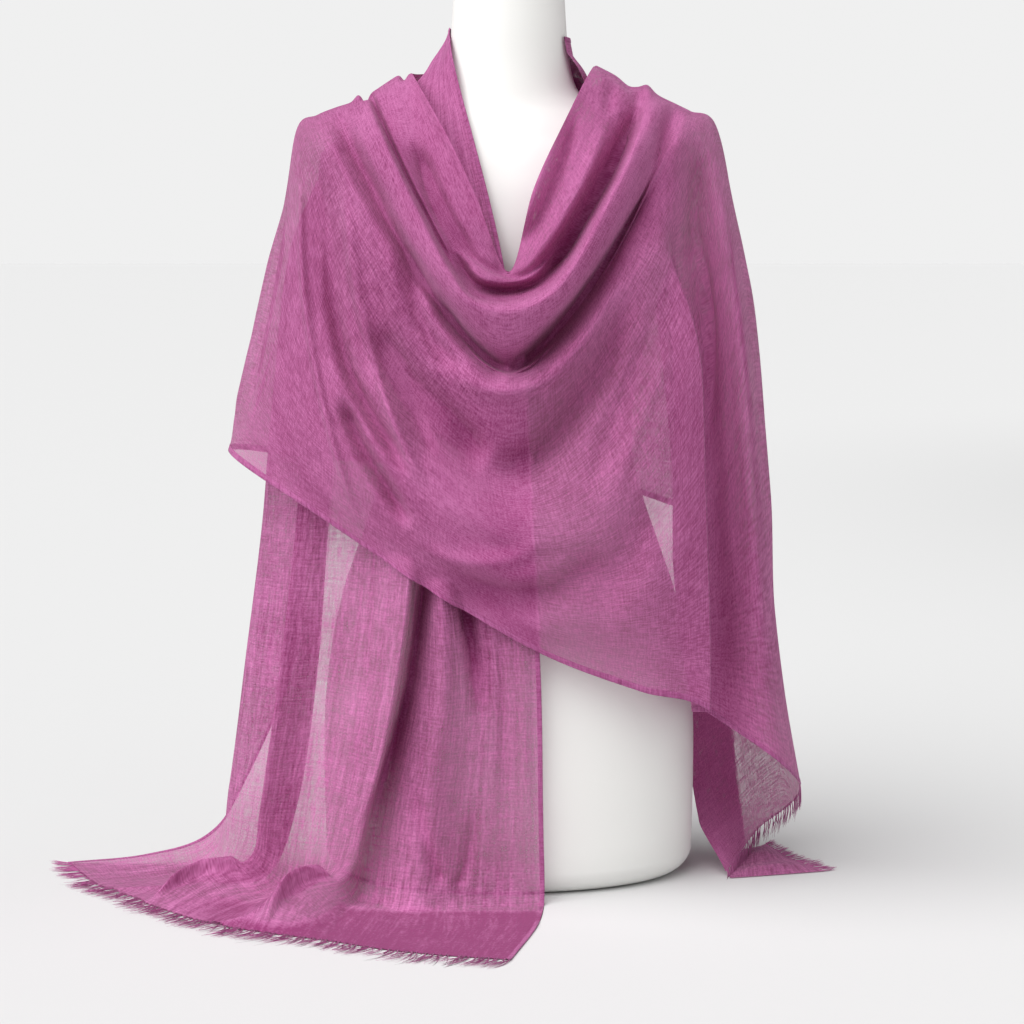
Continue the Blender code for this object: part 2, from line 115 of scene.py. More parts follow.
# The same rows round the right side: x y z where the cloth turns behind and on the back selvedge
RIGHT_BACK = (
    ((88, 50, 751), (66, 68, 747)),
    ((108, 54, 736), (72, 72, 742)),
    ((122, 58, 724), (84, 78, 734)),
    ((138, 62, 711), (98, 84, 720)),
    ((150, 66, 700), (110, 90, 700)),
    ((162, 70, 684), (122, 92, 660)),
    ((182, 74, 650), (134, 92, 600)),
    ((200, 78, 572), (146, 90, 520)),
    ((214, 80, 400), (160, 74, 380)),
    ((226, 80, 230), (171, 46, 200)),
    ((233, 76, 112), (176, 32, 66)),
    ((244, 54, 24), (206, -44, 5)),
)
FOLD_STATION = 5.0
FOLD_TOP_ROW = 5.0
FOLD_SET_BACK = 60
FOLD_DOUBLE_BACK = ((5, 7, 8.5, 10, 11), (8, 24, 31, 22, 15))  # mm at each row
FOLD_DROP = 10
FOLD_HOLD = 0.1
FOLD_REACH = 0.66
FOLD_TURN = 0.16
FOLD_END = 0.34

# z at the back selvedge, z and depth of the middle, how far the cloth stands out half way left
BACK_ROWS = (
    (758, 764, 72, 60),
    (750, 757, 80, 68),
    (738, 744, 88, 74),
    (722, 720, 97, 85),
    (700, 688, 92, 78),
    (670, 650, 106, 95),
    (625, 602, 98, 87),
    (570, 548, 116, 108),
    (505, 496, 106, 98),
    (440, 448, 122, 116),
    (392, 410, 112, 106),
    (344, 374, 119, 113),
)
BACK_RIGHT_X = 112
# shares of x at the side, of the depth, and of the height at the side, the rest being the middle's
RIGHT_BLADE = (0.8, 0.94, 0.6)
LEFT_BLADE = (0.68, 0.86, 0.45)
LEFT_SIDE = (0.94, 0.45, 0.85)
UNDERLAP = (26, -9, 0)  # how far the back drape runs on under the right fall's back selvedge

# Folds of the swag and right fall, each a line of x and z seen from the front. fold, height
# (a trough is below 0), half width on the left and on the right of the line, share of its length
# over which it rises and fades, then its points.
SWAG_CREASES = (
    ("lip of roll 1", -8, 5, 1.5, 0.2, 0.25,
     (-62, 640), (-46, 602), (-27, 581), (1, 568), (23, 574), (49, 605), (68, 638), (84, 672), (98, 716)),
    ("lip of roll 2", -22, 15, 1.8, 0.06, 0.10,
     (-130, 740), (-107, 688), (-75, 624), (-49, 575), (-30, 552), (2, 548), (33, 560), (56, 587),
     (76, 622), (102, 668), (126, 728)),
    ("shade under roll 1", -24, 5, 6, 0.25, 0.2,
     (-62, 608), (-47, 584), (-28, 561), (2, 556), (30, 566), (50, 590), (70, 622)),
    ("groove of roll 2, left", -13, 2.6, 2.2, 0.04, 0.3,
     (-131, 742), (-107, 688), (-91, 655), (-75, 624), (-60, 595), (-47, 573), (-30, 552)),
    ("edge of the neckline, left", 5, 4, 4, 0.1, 0.2,
     (-86, 752), (-57, 696), (-31, 642), (-14, 606), (-2, 580)),
    ("edge of the neckline, right", 4, 4, 4, 0.2, 0.1, (2, 580), (22, 640), (46, 696), (72, 748)),
    ("lip's round", 6, 3, 11, 0.3, 0.3,
     (-84, 632), (-49, 569), (-30, 545), (2, 539), (36, 552), (62, 584), (82, 620), (104, 660)),
    ("roll 1 right crest", 10, 8, 8, 0.3, 0.3,
     (10, 570), (30, 588), (50, 616), (68, 650), (82, 684), (92, 716)),
    ("band valley, right", -36, 10, 5, 0.25, 0.42,
     (18, 563), (40, 580), (58, 604), (74, 630), (92, 662), (108, 696), (116, 730)),
    ("band valley, left", -19, 9, 5, 0.3, 0.3, (-92, 693), (-81, 677), (-63, 631), (-46, 601), (-24, 582)),
    ("roll 1 left crest", 5, 7, 7, 0.3, 0.3, (-84, 712), (-68, 668), (-48, 622), (-24, 590)),
    ("neck band valley, right", -14, 6, 6, 0.25, 0.25,
     (10, 590), (26, 620), (42, 656), (54, 694), (62, 724)),
    ("tuck under roll 2, left", -16, 4, 13, 0.3, 0.15,
     (-66, 553), (-51, 531), (-38, 514), (-24, 501), (-11, 490), (2, 486)),
    ("tuck under roll 2, right", -40, 7, 22, 0.12, 0.3,
     (-6, 486), (17, 496), (35, 513), (58, 539), (86, 575), (112, 615), (138, 657), (162, 708)),
    ("second left valley", -20, 10, 9, 0.3, 0.3,
     (-96, 600), (-86, 556), (-75, 524), (-57, 499), (-30, 478)),
    ("ridge 3", 12, 8, 9, 0.3, 0.3,
     (-61, 493), (-30, 474), (-7, 468), (13, 469), (37, 484), (64, 512), (86, 541), (104, 575)),
    ("valley 4, left", -28, 14, 12, 0.3, 0.2,
     (-126, 530), (-103, 483), (-84, 460), (-61, 441), (-36, 417), (-16, 400)),
    ("valley 4, right", -25, 16, 12, 0.2, 0.3,
     (-26, 404), (7, 399), (29, 408), (52, 441), (82, 483), (98, 521), (109, 548), (126, 580)),
    ("ridge 5", 6, 8, 8, 0.3, 0.3, (-90, 342), (-66, 321), (-33, 314), (11, 321), (40, 338)),
    ("valley 5", -22, 9, 20, 0.3, 0.18,
     (-60, 310), (-48, 301), (-25, 291), (6, 285), (32, 289), (55, 300), (72, 314), (86, 329)),
    ("sharp crease, far left", 9, 4.5, 2.6, 0.1, 0.2,
     (-193, 667), (-192, 621), (-189, 565), (-179, 499), (-164, 437), (-147, 381), (-132, 336)),
    ("light band", 13, 8, 5, 0.25, 0.25,
     (-150, 668), (-145, 606), (-137, 550), (-125, 506), (-112, 467), (-98, 428), (-80, 382)),
    ("trough a", -27, 8, 6, 0.75, 0.15,
     (-171, 660), (-165, 600), (-160, 540), (-147, 488), (-127, 448), (-101, 410), (-86, 390)),
    ("trough b", -24, 7, 7, 0.2, 0.25, (-154, 462), (-142, 436), (-130, 411), (-107, 375), (-86, 342)),
    ("trough c", -14, 6, 7, 0.25, 0.25, (-112, 520), (-99, 480), (-84, 440), (-64, 402)),
    ("ridge c", 6, 5, 5, 0.3, 0.3, (-126, 500), (-108, 452), (-92, 415), (-70, 375)),
    ("shoulder streak 1", -6, 7, 6, 0.3, 0.3,
     (-158, 706), (-146, 687), (-135, 669), (-120, 649), (-98, 616)),
    ("shoulder ridge 1", 5, 5, 5, 0.3, 0.3, (-168, 697), (-150, 665), (-131, 632), (-112, 606)),
    ("shoulder streak 2", -3, 6, 5, 0.3, 0.3, (-182, 680), (-174, 651), (-167, 628), (-158, 596)),
    ("shoulder pinch, left", -5, 4, 4, 0.2, 0.4, (-134, 746), (-122, 716), (-112, 690)),
    ("right panel ridge", 5, 6, 7, 0.3, 0.3, (152, 520), (138, 484), (127, 459), (110, 419), (92, 370)),
    ("right panel trough", -9, 9, 10, 0.3, 0.3, (136, 545), (122, 500), (104, 455), (84, 405), (64, 360)),
    ("lower right trough", -16, 20, 22, 0.3, 0.3, (140, 385), (122, 346), (104, 314), (84, 284), (66, 256)),
    ("low belly trough", -5, 10, 12, 0.3, 0.3, (-70, 360), (-20, 330), (40, 318), (96, 328)),
    ("shoulder dip, right", -9, 8, 8, 0.2, 0.4, (120, 742), (118, 715), (106, 690)),
    ("shoulder pinch, right", -6, 5, 5, 0.3, 0.3, (100, 752), (93, 735), (90, 712)),
    ("right sleeve trough", -9, 8, 9, 0.25, 0.3, (176, 690), (172, 640), (168, 600), (160, 560)),
    ("right outer ridge", 6, 8, 8, 0.3, 0.3, (214, 560), (218, 480), (222, 380), (232, 280), (244, 180)),
    ("right outer trough", -7, 8, 8, 0.3, 0.3, (204, 620), (206, 540), (210, 440), (218, 330), (226, 240)),
)
# Folds that don't show from the front: in y and z from the sides, in x and z from behind.
RIGHT_SIDE_CREASES = (
    ("arm fold 1", -9, 12, 8, 0.25, 0.3, (30, 690), (22, 560), (12, 420), (4, 280), (-10, 150)),
    ("arm fold 2", 6, 8, 10, 0.3, 0.3, (-10, 660), (-22, 520), (-26, 380), (-30, 240)),
    ("arm fold 3", -8, 8, 12, 0.3, 0.2, (60, 640), (58, 500), (50, 360), (44, 220), (30, 120)),
)
LEFT_SIDE_CREASES = (
    ("sleeve fold 1", -8, 10, 8, 0.3, 0.3, (-24, 650), (-34, 560), (-40, 480), (-44, 420)),
    ("sleeve fold 2", -9, 9, 12, 0.25, 0.2, (30, 660), (34, 560), (30, 470), (26, 400)),
    ("sleeve fold 3", 6, 9, 8, 0.3, 0.2, (6, 650), (2, 560), (-4, 480), (-6, 410)),
)
# Notches and bumps along the tops of the shoulders, seen from above in x and y.
SHOULDER_CREASES = (
    ("notch beside the neck", -7, 3.5, 3.5, 0.25, 0.25, (-98, -44), (-98, -10), (-98, 20), (-100, 50)),
    ("notch of roll 2", -7, 3.2, 3.2, 0.25, 0.25, (-132, -44), (-134, -10), (-136, 20), (-138, 50)),
    ("bump beside roll 2", 4, 4, 4, 0.25, 0.25, (-140, -40), (-142, 0), (-142, 40)),
    ("bump, right", 5, 6, 6, 0.25, 0.25, (128, -44), (130, 0), (134, 50)),
    ("dip, right", -4, 8, 8, 0.25, 0.25, (108, -44), (112, 0), (116, 50)),
)
BACK_CREASES = (
    ("back swag 1", -13, 16, 8, 0.2, 0.2, (-150, 690), (-90, 640), (-20, 610), (50, 616), (104, 660)),
    ("back swag 2", 7, 10, 12, 0.25, 0.25, (-160, 650), (-100, 590), (-30, 560), (50, 570), (112, 620)),
    ("back swag 3", -14, 18, 10, 0.2, 0.25, (-190, 640), (-120, 540), (-50, 506), (30, 512), (118, 560)),
    ("back swag 4", 8, 12, 12, 0.25, 0.25, (-200, 590), (-130, 490), (-50, 456), (50, 462), (124, 500)),
    ("back swag 5", -12, 14, 10, 0.25, 0.3, (-220, 560), (-160, 450), (-80, 412), (20, 412), (120, 446)),
    ("back fold from the left", -9, 7, 9, 0.3, 0.3, (-176, 690), (-186, 600), (-176, 510), (-150, 440)),
    ("back fold from the right", -8, 8, 8, 0.3, 0.3, (130, 690), (138, 600), (132, 520), (120, 450)),
)

# ---------------------------------------------------------------- neck stretch and left fall, in mm
# height and how far from the neck's axis the cloth is at its sides and at its back
NECK_PROFILE = (
    (800, 55.5, 53),
    (788, 60, 58),
    (777, 67, 63),
    (767, 74, 65),
    (757, 79, 67),
    (746, 84, 69),
    (737, 96, 71),
    (728, 112, 73),
    (719, 132, 76),
    (709, 148, 79),
)
NECK_RIGHT_SHARE = 0.94
NECK_TURN = (-24, 180)
NECK_STATIONS = 8
NECK_TILT = 10
NECK_TILT_FROM = 740  # height over which the cloth behind the neck tilts down to the right
NECK_TILT_EASE = 60

LEFT_FORM_GAP = 5
NECK_FORM_GAP = 1.4
NECK_GAP_HEIGHTS = (765, 800)  # between these the first gap narrows to the second
LEFT_COLUMNS = 260
LEFT_ROWS = 280
NECK_COLUMNS = 59
LEFT_HEIGHTS = (600, 450, 330, 200, 80)
# line, x y z beside the neck, then x y at each height
LEFT_HANGING = (
    ("inner selvedge", (-50, -40, 760), (-9, -116), (15, -118), (22, -130), (29, -144), (31, -147)),
    ("valley 3", (-62, -43, 738), (-44, -114), (-42, -114), (-46, -134), (-32, -148), (-40, -152)),
    ("rise", (-76, -42, 727), (-74, -110), (-66, -120), (-66, -140), (-62, -158), (-78, -162)),
    ("valley 2", (-90, -40, 721), (-98, -104), (-88, -100), (-82, -108), (-96, -124), (-122, -126)),
    ("ridge 2", (-104, -36, 716), (-114, -98), (-100, -112), (-92, -136), (-105, -156), (-132, -160)),
    ("window", (-120, -30, 712), (-146, -82), (-148, -80), (-152, -90), (-166, -96), (-184, -102)),
    ("ridge 1", (-132, -24, 709), (-172, -60), (-188, -68), (-198, -80), (-213, -94), (-230, -102)),
    ("pleat turn", (-136, -20, 708), (-150, -40), (-160, -46), (-169, -54), (-179, -64), (-197, -70)),
    ("pleat back", (-142, -18, 706), (-184, -24), (-196, -32), (-204, -44), (-216, -54), (-234, -60)),
    ("outer fold", (-152, -18, 704), (-204, -8), (-224, -8), (-235, -8), (-252, -10), (-268, -12)),
    ("outer selvedge", (-156, -12, 700), (-178, 8), (-186, 10), (-192, 12), (-206, 12), (-256, 4)),
)
# the same lines over the floor: x y z where the cloth meets it, half way along and at the fringe
LEFT_TRAIN = (
    ((32, -158, 4), (25, -240, 1), (2, -356, 1)),
    ((-46, -170, 3), (-44, -250, 1), (-58, -340, 1)),
    ((-88, -180, 6), (-98, -250, 1), (-108, -320, 1)),
    ((-132, -146, 4), (-148, -214, 1), (-158, -290, 1)),
    ((-150, -160, 30), (-192, -180, 22), (-214, -262, 1)),
    ((-200, -116, 6), (-238, -160, 1), (-268, -226, 1)),
    ((-240, -106, 32), (-284, -96, 17), (-326, -160, 1)),
    ((-226, -84, 10), (-288, -92, 4), (-336, -142, 1)),
    ((-256, -56, 14), (-306, -72, 3), (-352, -122, 1)),
    ((-278, -24, 12), (-330, -50, 1), (-388, -76, 1)),
    ((-292, 6, 30), (-352, 8, 10), (-428, 14, 1)),
)
LEFT_CREASES = (
    ("valley 2", -22, 11, 4, 0.06, 0.5,
     (-66, 340), (-77, 288), (-84, 241), (-92, 192), (-105, 144), (-119, 104), (-135, 67), (-149, 38)),
    ("ridge 2", 7, 7, 5, 0.1, 0.25,
     (-80, 335), (-90, 293), (-95, 252), (-103, 205), (-113, 144), (-122, 104), (-130, 76), (-142, 47)),
    ("valley 3", -34, 12, 5, 0.1, 0.6,
     (-50, 345), (-48, 322), (-46, 300), (-41, 261), (-37, 241), (-31, 205), (-27, 174), (-24, 150)),
    ("ridge 3", 5, 8, 6, 0.1, 0.4, (-62, 300), (-60, 250), (-58, 200), (-56, 150)),
    ("small trough 1", -4, 5, 5, 0.2, 0.3, (-120, 330), (-124, 277), (-129, 205), (-137, 132), (-148, 67)),
    ("small ridge 1", 3, 4, 5, 0.2, 0.3, (-110, 330), (-114, 277), (-119, 205), (-126, 140)),
    ("small trough 2", -3.5, 6, 6, 0.2, 0.3, (-8, 280), (-6, 200), (-4, 120), (-2, 60)),
    ("small ridge 2", 2.5, 5, 4, 0.2, 0.3, (12, 280), (14, 200), (15, 120), (16, 50)),
    ("notch left", -8, 5, 8, 0.4, 0.1, (-86, 120), (-80, 84), (-70, 47), (-60, 16)),
    ("notch right", -6, 6, 5, 0.1, 0.4, (-52, 12), (-40, 28), (-34, 60), (-30, 96)),
)
# Folds that lie on the floor, seen from above in x and y.
TRAIN_CREASES = (
    ("floor ridge a", 12, 3, 8, 0.15, 0.4,
     (-246, -106), (-266, -100), (-288, -98), (-308, -118), (-326, -150)),
    ("floor ridge b", 15, 3, 8, 0.15, 0.4,
     (-156, -160), (-176, -164), (-194, -182), (-206, -216), (-216, -256)),
    ("floor ridge c", 3, 5, 5, 0.3, 0.3, (-262, -62), (-300, -92), (-352, -104), (-392, -100)),
    ("floor ridge d", 3, 4, 6, 0.3, 0.3, (-180, -170), (-226, -220), (-262, -236), (-290, -216)),
    ("foot of the fall", -2, 4, 4, 0.3, 0.3,
     (-120, -200), (-93, -206), (-53, -192), (-11, -222), (26, -236)),
    ("lip below the notch", 4, 4, 5, 0.3, 0.3, (-84, -192), (-56, -200), (-30, -190)),
)

# ---------------------------------------------------------------- tail of the right end, in mm
TAIL_LINES = (
    ((209, -53), (252, -40, 1), (302, -24)),
    ((211, -34), (252, -16, 6), (290, 2)),
    ((214, -4), (250, 14, 2), (276, 32)),
    ((222, 34), (250, 48, 5), (266, 66)),
    ((232, 74), (248, 86, 1), (258, 100)),
)

# ---------------------------------------------------------------- cover of the cloth
# A single layer's cover is the share of the view that it stops. Above 1, its colour deepens instead: that is
# how shade is painted in the folds, on the swag over the left fall and where the left fall lies on the
# floor.
CLOTH_COVER = 0.78
TAIL_COVER = 0.85
COVER_RANGE = (0.2, 1.5)
FOLD_DENSE = 0.27  # added where the cloth is folded double at the right, between two stations
FOLD_DENSE_START = 4.97
FOLD_DENSE_END = 5.62
TURNED_UNDER = (234, -0.10)  # edge of the part turned under: its x on the floor and the change with height
TURNED_UNDER_DENSE = 0.31  # added left of that edge, behind this station
TURNED_UNDER_STATION = 6.3
UNDER_EDGE = (41.0, -0.055)  # the same for the left fall's edge behind the swag
UNDER_EDGE_TOP = 520
DOUBLE_LAYER_AND_SHADE = (0.36, 90)  # added to the swag left of that edge, where the left fall hangs behind it: partly a denser look of two layers, partly painted shade that deepens the colour past full cover; and its reach
SINGLE_LAYER = (0.10, 55)  # taken off right of it, and its reach
FOLD_PAINTED_SHADE = 0.022  # painted shade: cover added for each mm that a fold of the left fall sinks, which deepens the colour past full cover
# the same painted shade, weaker, in the folds of the swag
SWAG_FOLD_PAINTED_SHADE = 0.25 * FOLD_PAINTED_SHADE
SWAG_FRONT_Y = -60  # the cover of folds and layers counts only in front of this
LEFT_FRONT_Y = -90
GATHERED_ROW = 6.0  # above this row of the swag, and this height of the left fall, the cloth is gathered
GATHERED_HEIGHT = 560
TURNED_UNDER_ROW = 8.5
LYING_PAINTED_SHADE = 0.78  # painted shade: cover added where the left fall lies on the floor, in front of its foot line, which deepens its colour
LYING_HEIGHT = 8
FOOT_LINE_Y = -174  # as far left as the x below, then further back by the slope
FOOT_LINE_X = -100
FOOT_LINE_SLOPE = 0.25
# Places where the weave is drawn open, or pressed close where the amount is below 0: x, y, z, reach, amount
WRAP_LOOSE = (
    (140, -110, 365, 45, 0.20),
    (-236, -10, 408, 40, 0.24),
    (-226, 0, 600, 60, 0.10),
    (-240, 0, 500, 60, 0.10),
    (158, -120, 500, 40, 0.07),
    (-176, -60, 660, 50, 0.16),
    (250, 20, 250, 70, -0.26),
    (190, -60, 690, 50, 0.05),
    (-186, -40, 560, 60, 0.06),
)
LEFT_LOOSE = (
    (-166, -80, 290, 28, 0.13),
    (-178, -88, 180, 32, 0.15),
    (-250, -60, 120, 50, 0.15),
    (-80, -140, 250, 120, 0.05),
    (-160, -130, 60, 40, 0.05),
    (-226, -20, 360, 60, 0.06),
    (10, -150, 90, 70, 0.12),
)


# ---------------------------------------------------------------- surfaces
def spline_matrix(positions, count):
    """Catmull-Rom weights of each position along a row of control points, straight past its ends."""
    matrix = np.zeros((len(positions), count))
    for line, position in zip(matrix, positions):
        first = min(max(int(math.floor(position)), 0), count - 2)
        t = position - first
        weights = (
            0.5 * (-t + 2 * t * t - t**3),
            0.5 * (2 - 5 * t * t + 3 * t**3),
            0.5 * (t + 4 * t * t - 3 * t**3),
            0.5 * (-t * t + t**3),
        )
        for index, weight in enumerate(weights, first - 1):
            if index < 0:
                line[:2] += (2 * weight, -weight)
            elif index >= count:
                line[-2:] += (-weight, 2 * weight)
            else:
                line[index] += weight
    return matrix


def surface(control, rows, columns):
    """Points of the smooth surface through a grid of control points, at each row and column."""
    row_weights = spline_matrix(rows, control.shape[0])
    column_weights = spline_matrix(columns, control.shape[1])
    return np.einsum("ri,ijk,cj->rck", row_weights, control, column_weights)


def divided(*parts):
    """Positions from one end to the other, in parts of first, last and number of steps."""
    positions = [np.linspace(first, last, steps, endpoint=False) for first, last, steps in parts]
    return np.concatenate((*positions, [parts[-1][1]]))


def smooth_step(value):
    """From 0 to 1, level at both ends, as the value goes from 0 to 1."""
    value = np.clip(value, 0, 1)
    return value * value * (3 - 2 * value)


def clear_of_form(points, gap):
    """Moves points straight out from the form's axis until they are a gap clear of the form."""
    rings = np.array(FORM_RINGS, float).T
    half_width = np.interp(points[..., 2], rings[0], rings[1]) + gap
    half_depth = np.interp(points[..., 2], rings[0], rings[2]) + gap
    reach = np.hypot(points[..., 0] / half_width, points[..., 1] / half_depth)
    scale = np.where((reach < 1) & (points[..., 2] < NECK_TOP), 1 / np.maximum(reach, 1e-6), 1)
    points[..., :2] *= scale[..., None]
    return points


def normals_of(points):
    down, across = np.gradient(points, axis=(0, 1))
    normal = np.cross(across, down)
    return normal / np.maximum(np.linalg.norm(normal, axis=-1, keepdims=True), 1e-9)


def outward_normals(points):
    """Surface normals, turned to point away from the form's upright axis."""
    normal = normals_of(points)
    inward = (normal[..., :2] * points[..., :2]).sum(-1) < 0
    if inward.mean() > 0.5:
        normal = -normal
    return normal


def share_facing(points, way, ease):
    """1 where a sheet faces the way given and 0 where it faces off, eased between the two."""
    return smooth_step((outward_normals(points) @ np.array(way, float) - 0.02) / ease)


def distance_along(line):
    """Distance from the first point of a line to each of its points, or of each column of a sheet."""
    steps = np.linalg.norm(np.diff(line, axis=0), axis=-1).cumsum(0)
    return np.concatenate((np.zeros_like(steps[:1]), steps))


def values_at(places, travelled, values):
    """Rows of a table of values, read at places between the distances where they are given."""
    return np.stack([np.interp(places, travelled, column) for column in values.T], axis=-1)


def smooth_line(points, steps=8):
    """The smooth line through its points, with some steps between each two."""
    positions = np.linspace(0, len(points) - 1, steps * (len(points) - 1) + 1)
    return spline_matrix(positions, len(points)) @ np.array(points, float)


def crease_height(flat, crease):
    """Height of one fold at each point, which it reads as two coordinates seen square on."""
    height, left_width, right_width, rise, fade, *points = crease[1:]
    line = smooth_line(points)
    start = line[:-1]
    step = line[1:] - start
    length = np.linalg.norm(step, axis=1)
    travelled = distance_along(line)
    margin = 3 * max(left_width, right_width)
    near = np.all((flat > line.min(0) - margin) & (flat < line.max(0) + margin), axis=-1)
    result = np.zeros(flat.shape[:-1])
    if not near.any():
        return result
    here = flat[near]
    offset = here[:, None, :] - start
    share = np.clip((offset * step).sum(-1) / length**2, 0, 1)
    aside = offset - share[..., None] * step
    distance = np.linalg.norm(aside, axis=-1)
    nearest = distance.argmin(1)
    pick = np.arange(len(here)), nearest
    side = step[nearest, 0] * offset[pick][:, 1] - step[nearest, 1] * offset[pick][:, 0]
    width = np.where(side > 0, left_width, right_width)
    along = (travelled[nearest] + share[pick] * length[nearest]) / travelled[-1]
    taper = smooth_step(along / rise) * smooth_step((1 - along) / fade)
    result[near] = height * taper * np.exp(-((distance[pick] / width) ** 2))
    return result


def sunk_in_folds(points, creases, plane):
    """How many mm the folds of a table sink the cloth at each point."""
    return sum(np.clip(-crease_height(points[..., plane], crease), 0, None) for crease in creases)


def add_creases(points, creases, plane, facing):
    """Raises and sinks the folds where the cloth faces the way given, towards or away from that side."""
    height = sum(crease_height(points[..., plane], crease) for crease in creases)
    height = height * share_facing(points, facing, 0.25)
    return points + np.array(facing, float) * height[..., None]


# ---------------------------------------------------------------- making pieces
def add_piece(name, vertices, faces, material, uv=None):
    mesh = bpy.data.meshes.new(name)
    mesh.from_pydata([tuple(v) for v in vertices], [], faces)
    if uv is not None:
        layer = mesh.uv_layers.new(name="cloth")
        indices = np.empty(len(mesh.loops), np.int32)
        mesh.loops.foreach_get("vertex_index", indices)
        layer.data.foreach_set("uv", uv[indices].astype(np.float32).ravel())
    mesh.shade_smooth()
    mesh.materials.append(material)
    mesh.validate()
    obj = bpy.data.objects.new(name, mesh)
    bpy.context.scene.collection.objects.link(obj)
    return obj


def grid_faces(rows, columns, closed=False):
    """Quads of a grid, row by row."""
    faces = []
    for r in range(rows - 1):
        for c in range(columns - (0 if closed else 1)):
            d = (c + 1) % columns
            faces.append((r * columns + c, r * columns + d, (r + 1) * columns + d, (r + 1) * columns + c))
    return faces


def cloth_lengths(points, last_part=None):
    """Distance across and along the cloth at each point of its grid, in metres, with straight threads.

    Columns from last_part on have lengths of their own, eased in over a few columns.
    """
    widths = np.linalg.norm(np.diff(points, axis=1), axis=-1)
    heights = np.linalg.norm(np.diff(points, axis=0), axis=-1)
    across = np.tile(np.pad(widths.mean(0).cumsum(), (1, 0)), (len(points), 1))
    along = np.tile(np.pad(heights.mean(1).cumsum(), (1, 0))[:, None], (1, points.shape[1]))
    if last_part is not None:
        own = widths[:, last_part:]
        share = own.sum(1) / own.sum(1).mean()
        beyond = across[:, last_part:] - across[:, last_part : last_part + 1]
        across[:, last_part:] += (share - 1)[:, None] * beyond
        blend = smooth_step((np.arange(points.shape[1]) - last_part) / LENGTHS_EASE)
        own_along = np.pad(heights[:, last_part + LENGTHS_EASE // 2 :].mean(1).cumsum(), (1, 0))[:, None]
        along = along + blend * (own_along - along)
    return np.stack((across, along), axis=-1) * MM


def cloth_piece(name, points, material, cover, last_part=None, turned=False):
    """A sheet of cloth. The threads of its length run down its rows, or across them where it is turned."""
    points = points.copy()
    points[..., 2] = np.maximum(points[..., 2], FLOOR_CLEARANCE)
    rows, columns = points.shape[:2]
    uv = cloth_lengths(points, last_part).reshape(-1, 2)
    if turned:
        uv = uv[:, ::-1]
    obj = add_piece(name, points.reshape(-1, 3) * MM, grid_faces(rows, columns), material, uv)
    threads = obj.data.attributes.new("cover", "FLOAT", "POINT")
    threads.data.foreach_set("value", np.clip(cover, *COVER_RANGE).astype(np.float32).ravel())
    return obj


def finish_piece(obj, slot, *nodes):
    """Fixes a piece to the part and hides the solids that it stands for; slot is not used."""
    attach(obj, "root")
    if nodes:
        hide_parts(*nodes)
    return obj


# ---------------------------------------------------------------- materials
# deep colour between the threads, light colour on them
MULBERRY = ((0.265, 0.035, 0.148, 1), (0.61, 0.20, 0.435, 1))
HEM_MULBERRY = ((0.29, 0.046, 0.17, 1), (0.49, 0.15, 0.345, 1))
THROUGH_COLOUR = (0.66, 0.10, 0.36, 1)
SHEEN_TINT = (1.0, 0.78, 0.93, 1)
FORM_WHITES = ((0.835, 0.835, 0.81, 1), (0.865, 0.865, 0.84, 1))
# grey of the plain paper, and the darker grey of a soft shadow painted on it
PAPER_GREY_AND_PAINTED_SHADOW = ((0.69, 0.69, 0.69, 1), (0.49, 0.49, 0.49, 1))
PAINTED_PAPER_SHADOW = ((2.4, 3.4, 0), (2.6, 5.0, 1))  # centre of the soft shadow painted on the paper, where it is darkest, and how far it reaches: metres
# scale across and along the warp, for each metre of cloth, detail, and the levels that become 0 and 1
WEAVE_NOISES = {
    "warp": ((560, 70), 1.0, 0.28, 0.72),
    "weft": ((70, 560), 1.0, 0.28, 0.72),
    "nap": ((620, 620), 1.0, 0.28, 0.72),
    "warp_slub": ((300, 9), 1.0, 0.56, 0.76),
    "weft_slub": ((12, 300), 1.0, 0.58, 0.76),
    "streak": ((240, 6), 2.0, 0.3, 0.7),
    "cloud": ((16, 16), 2.0, 0.3, 0.7),
}


def new_material(name):
    material = bpy.data.materials.new(name)
    material.use_nodes = True
    return material, material.node_tree.nodes, material.node_tree.links


def add_node(nodes, kind, **values):
    node = nodes.new(kind)
    for key, value in values.items():
        if hasattr(node, key):
            setattr(node, key, value)
        else:
            node.inputs[key.replace("_", " ")].default_value = value
    return node


def stretched_noise(nodes, links, uv, scale, detail, low, high):
    """Noise drawn out along the threads, from 0 to 1 between the two levels given."""
    mapping = add_node(nodes, "ShaderNodeMapping")
    mapping.inputs["Scale"].default_value = (*scale, 1)
    links.new(uv, mapping.inputs["Vector"])
    noise = add_node(nodes, "ShaderNodeTexNoise", noise_dimensions="2D", Scale=1.0, Detail=detail)
    links.new(mapping.outputs["Vector"], noise.inputs["Vector"])
    spread = add_node(nodes, "ShaderNodeMapRange")
    spread.inputs["From Min"].default_value = low
    spread.inputs["From Max"].default_value = high
    links.new(noise.outputs["Fac"], spread.inputs["Value"])
    return spread.outputs["Result"]


def math_node(nodes, links, operation, a, b):
    node = nodes.new("ShaderNodeMath")
    node.operation = operation
    for socket, value in zip(node.inputs, (a, b)):
        if isinstance(value, (int, float)):
            socket.default_value = value
        else:
            links.new(value, socket)
    return node.outputs[0]


def colour_mix(nodes, links, factor, first, second):
    """A colour between two, each a colour or a socket, as far along as the factor says."""
    mix = add_node(nodes, "ShaderNodeMix", data_type="RGBA")
    colour_inputs = [socket for socket in mix.inputs if socket.type == "RGBA"]
    links.new(factor, mix.inputs["Factor"])
    for socket, value in zip(colour_inputs, (first, second)):
        if isinstance(value, tuple):
            socket.default_value = value
        else:
            links.new(value, socket)
    return next(socket for socket in mix.outputs if socket.type == "RGBA")


def bump_normal(nodes, links, height, strength, distance):
    bump = add_node(nodes, "ShaderNodeBump", Strength=strength, Distance=distance)
    links.new(height, bump.inputs["Height"])
    return bump.outputs["Normal"]


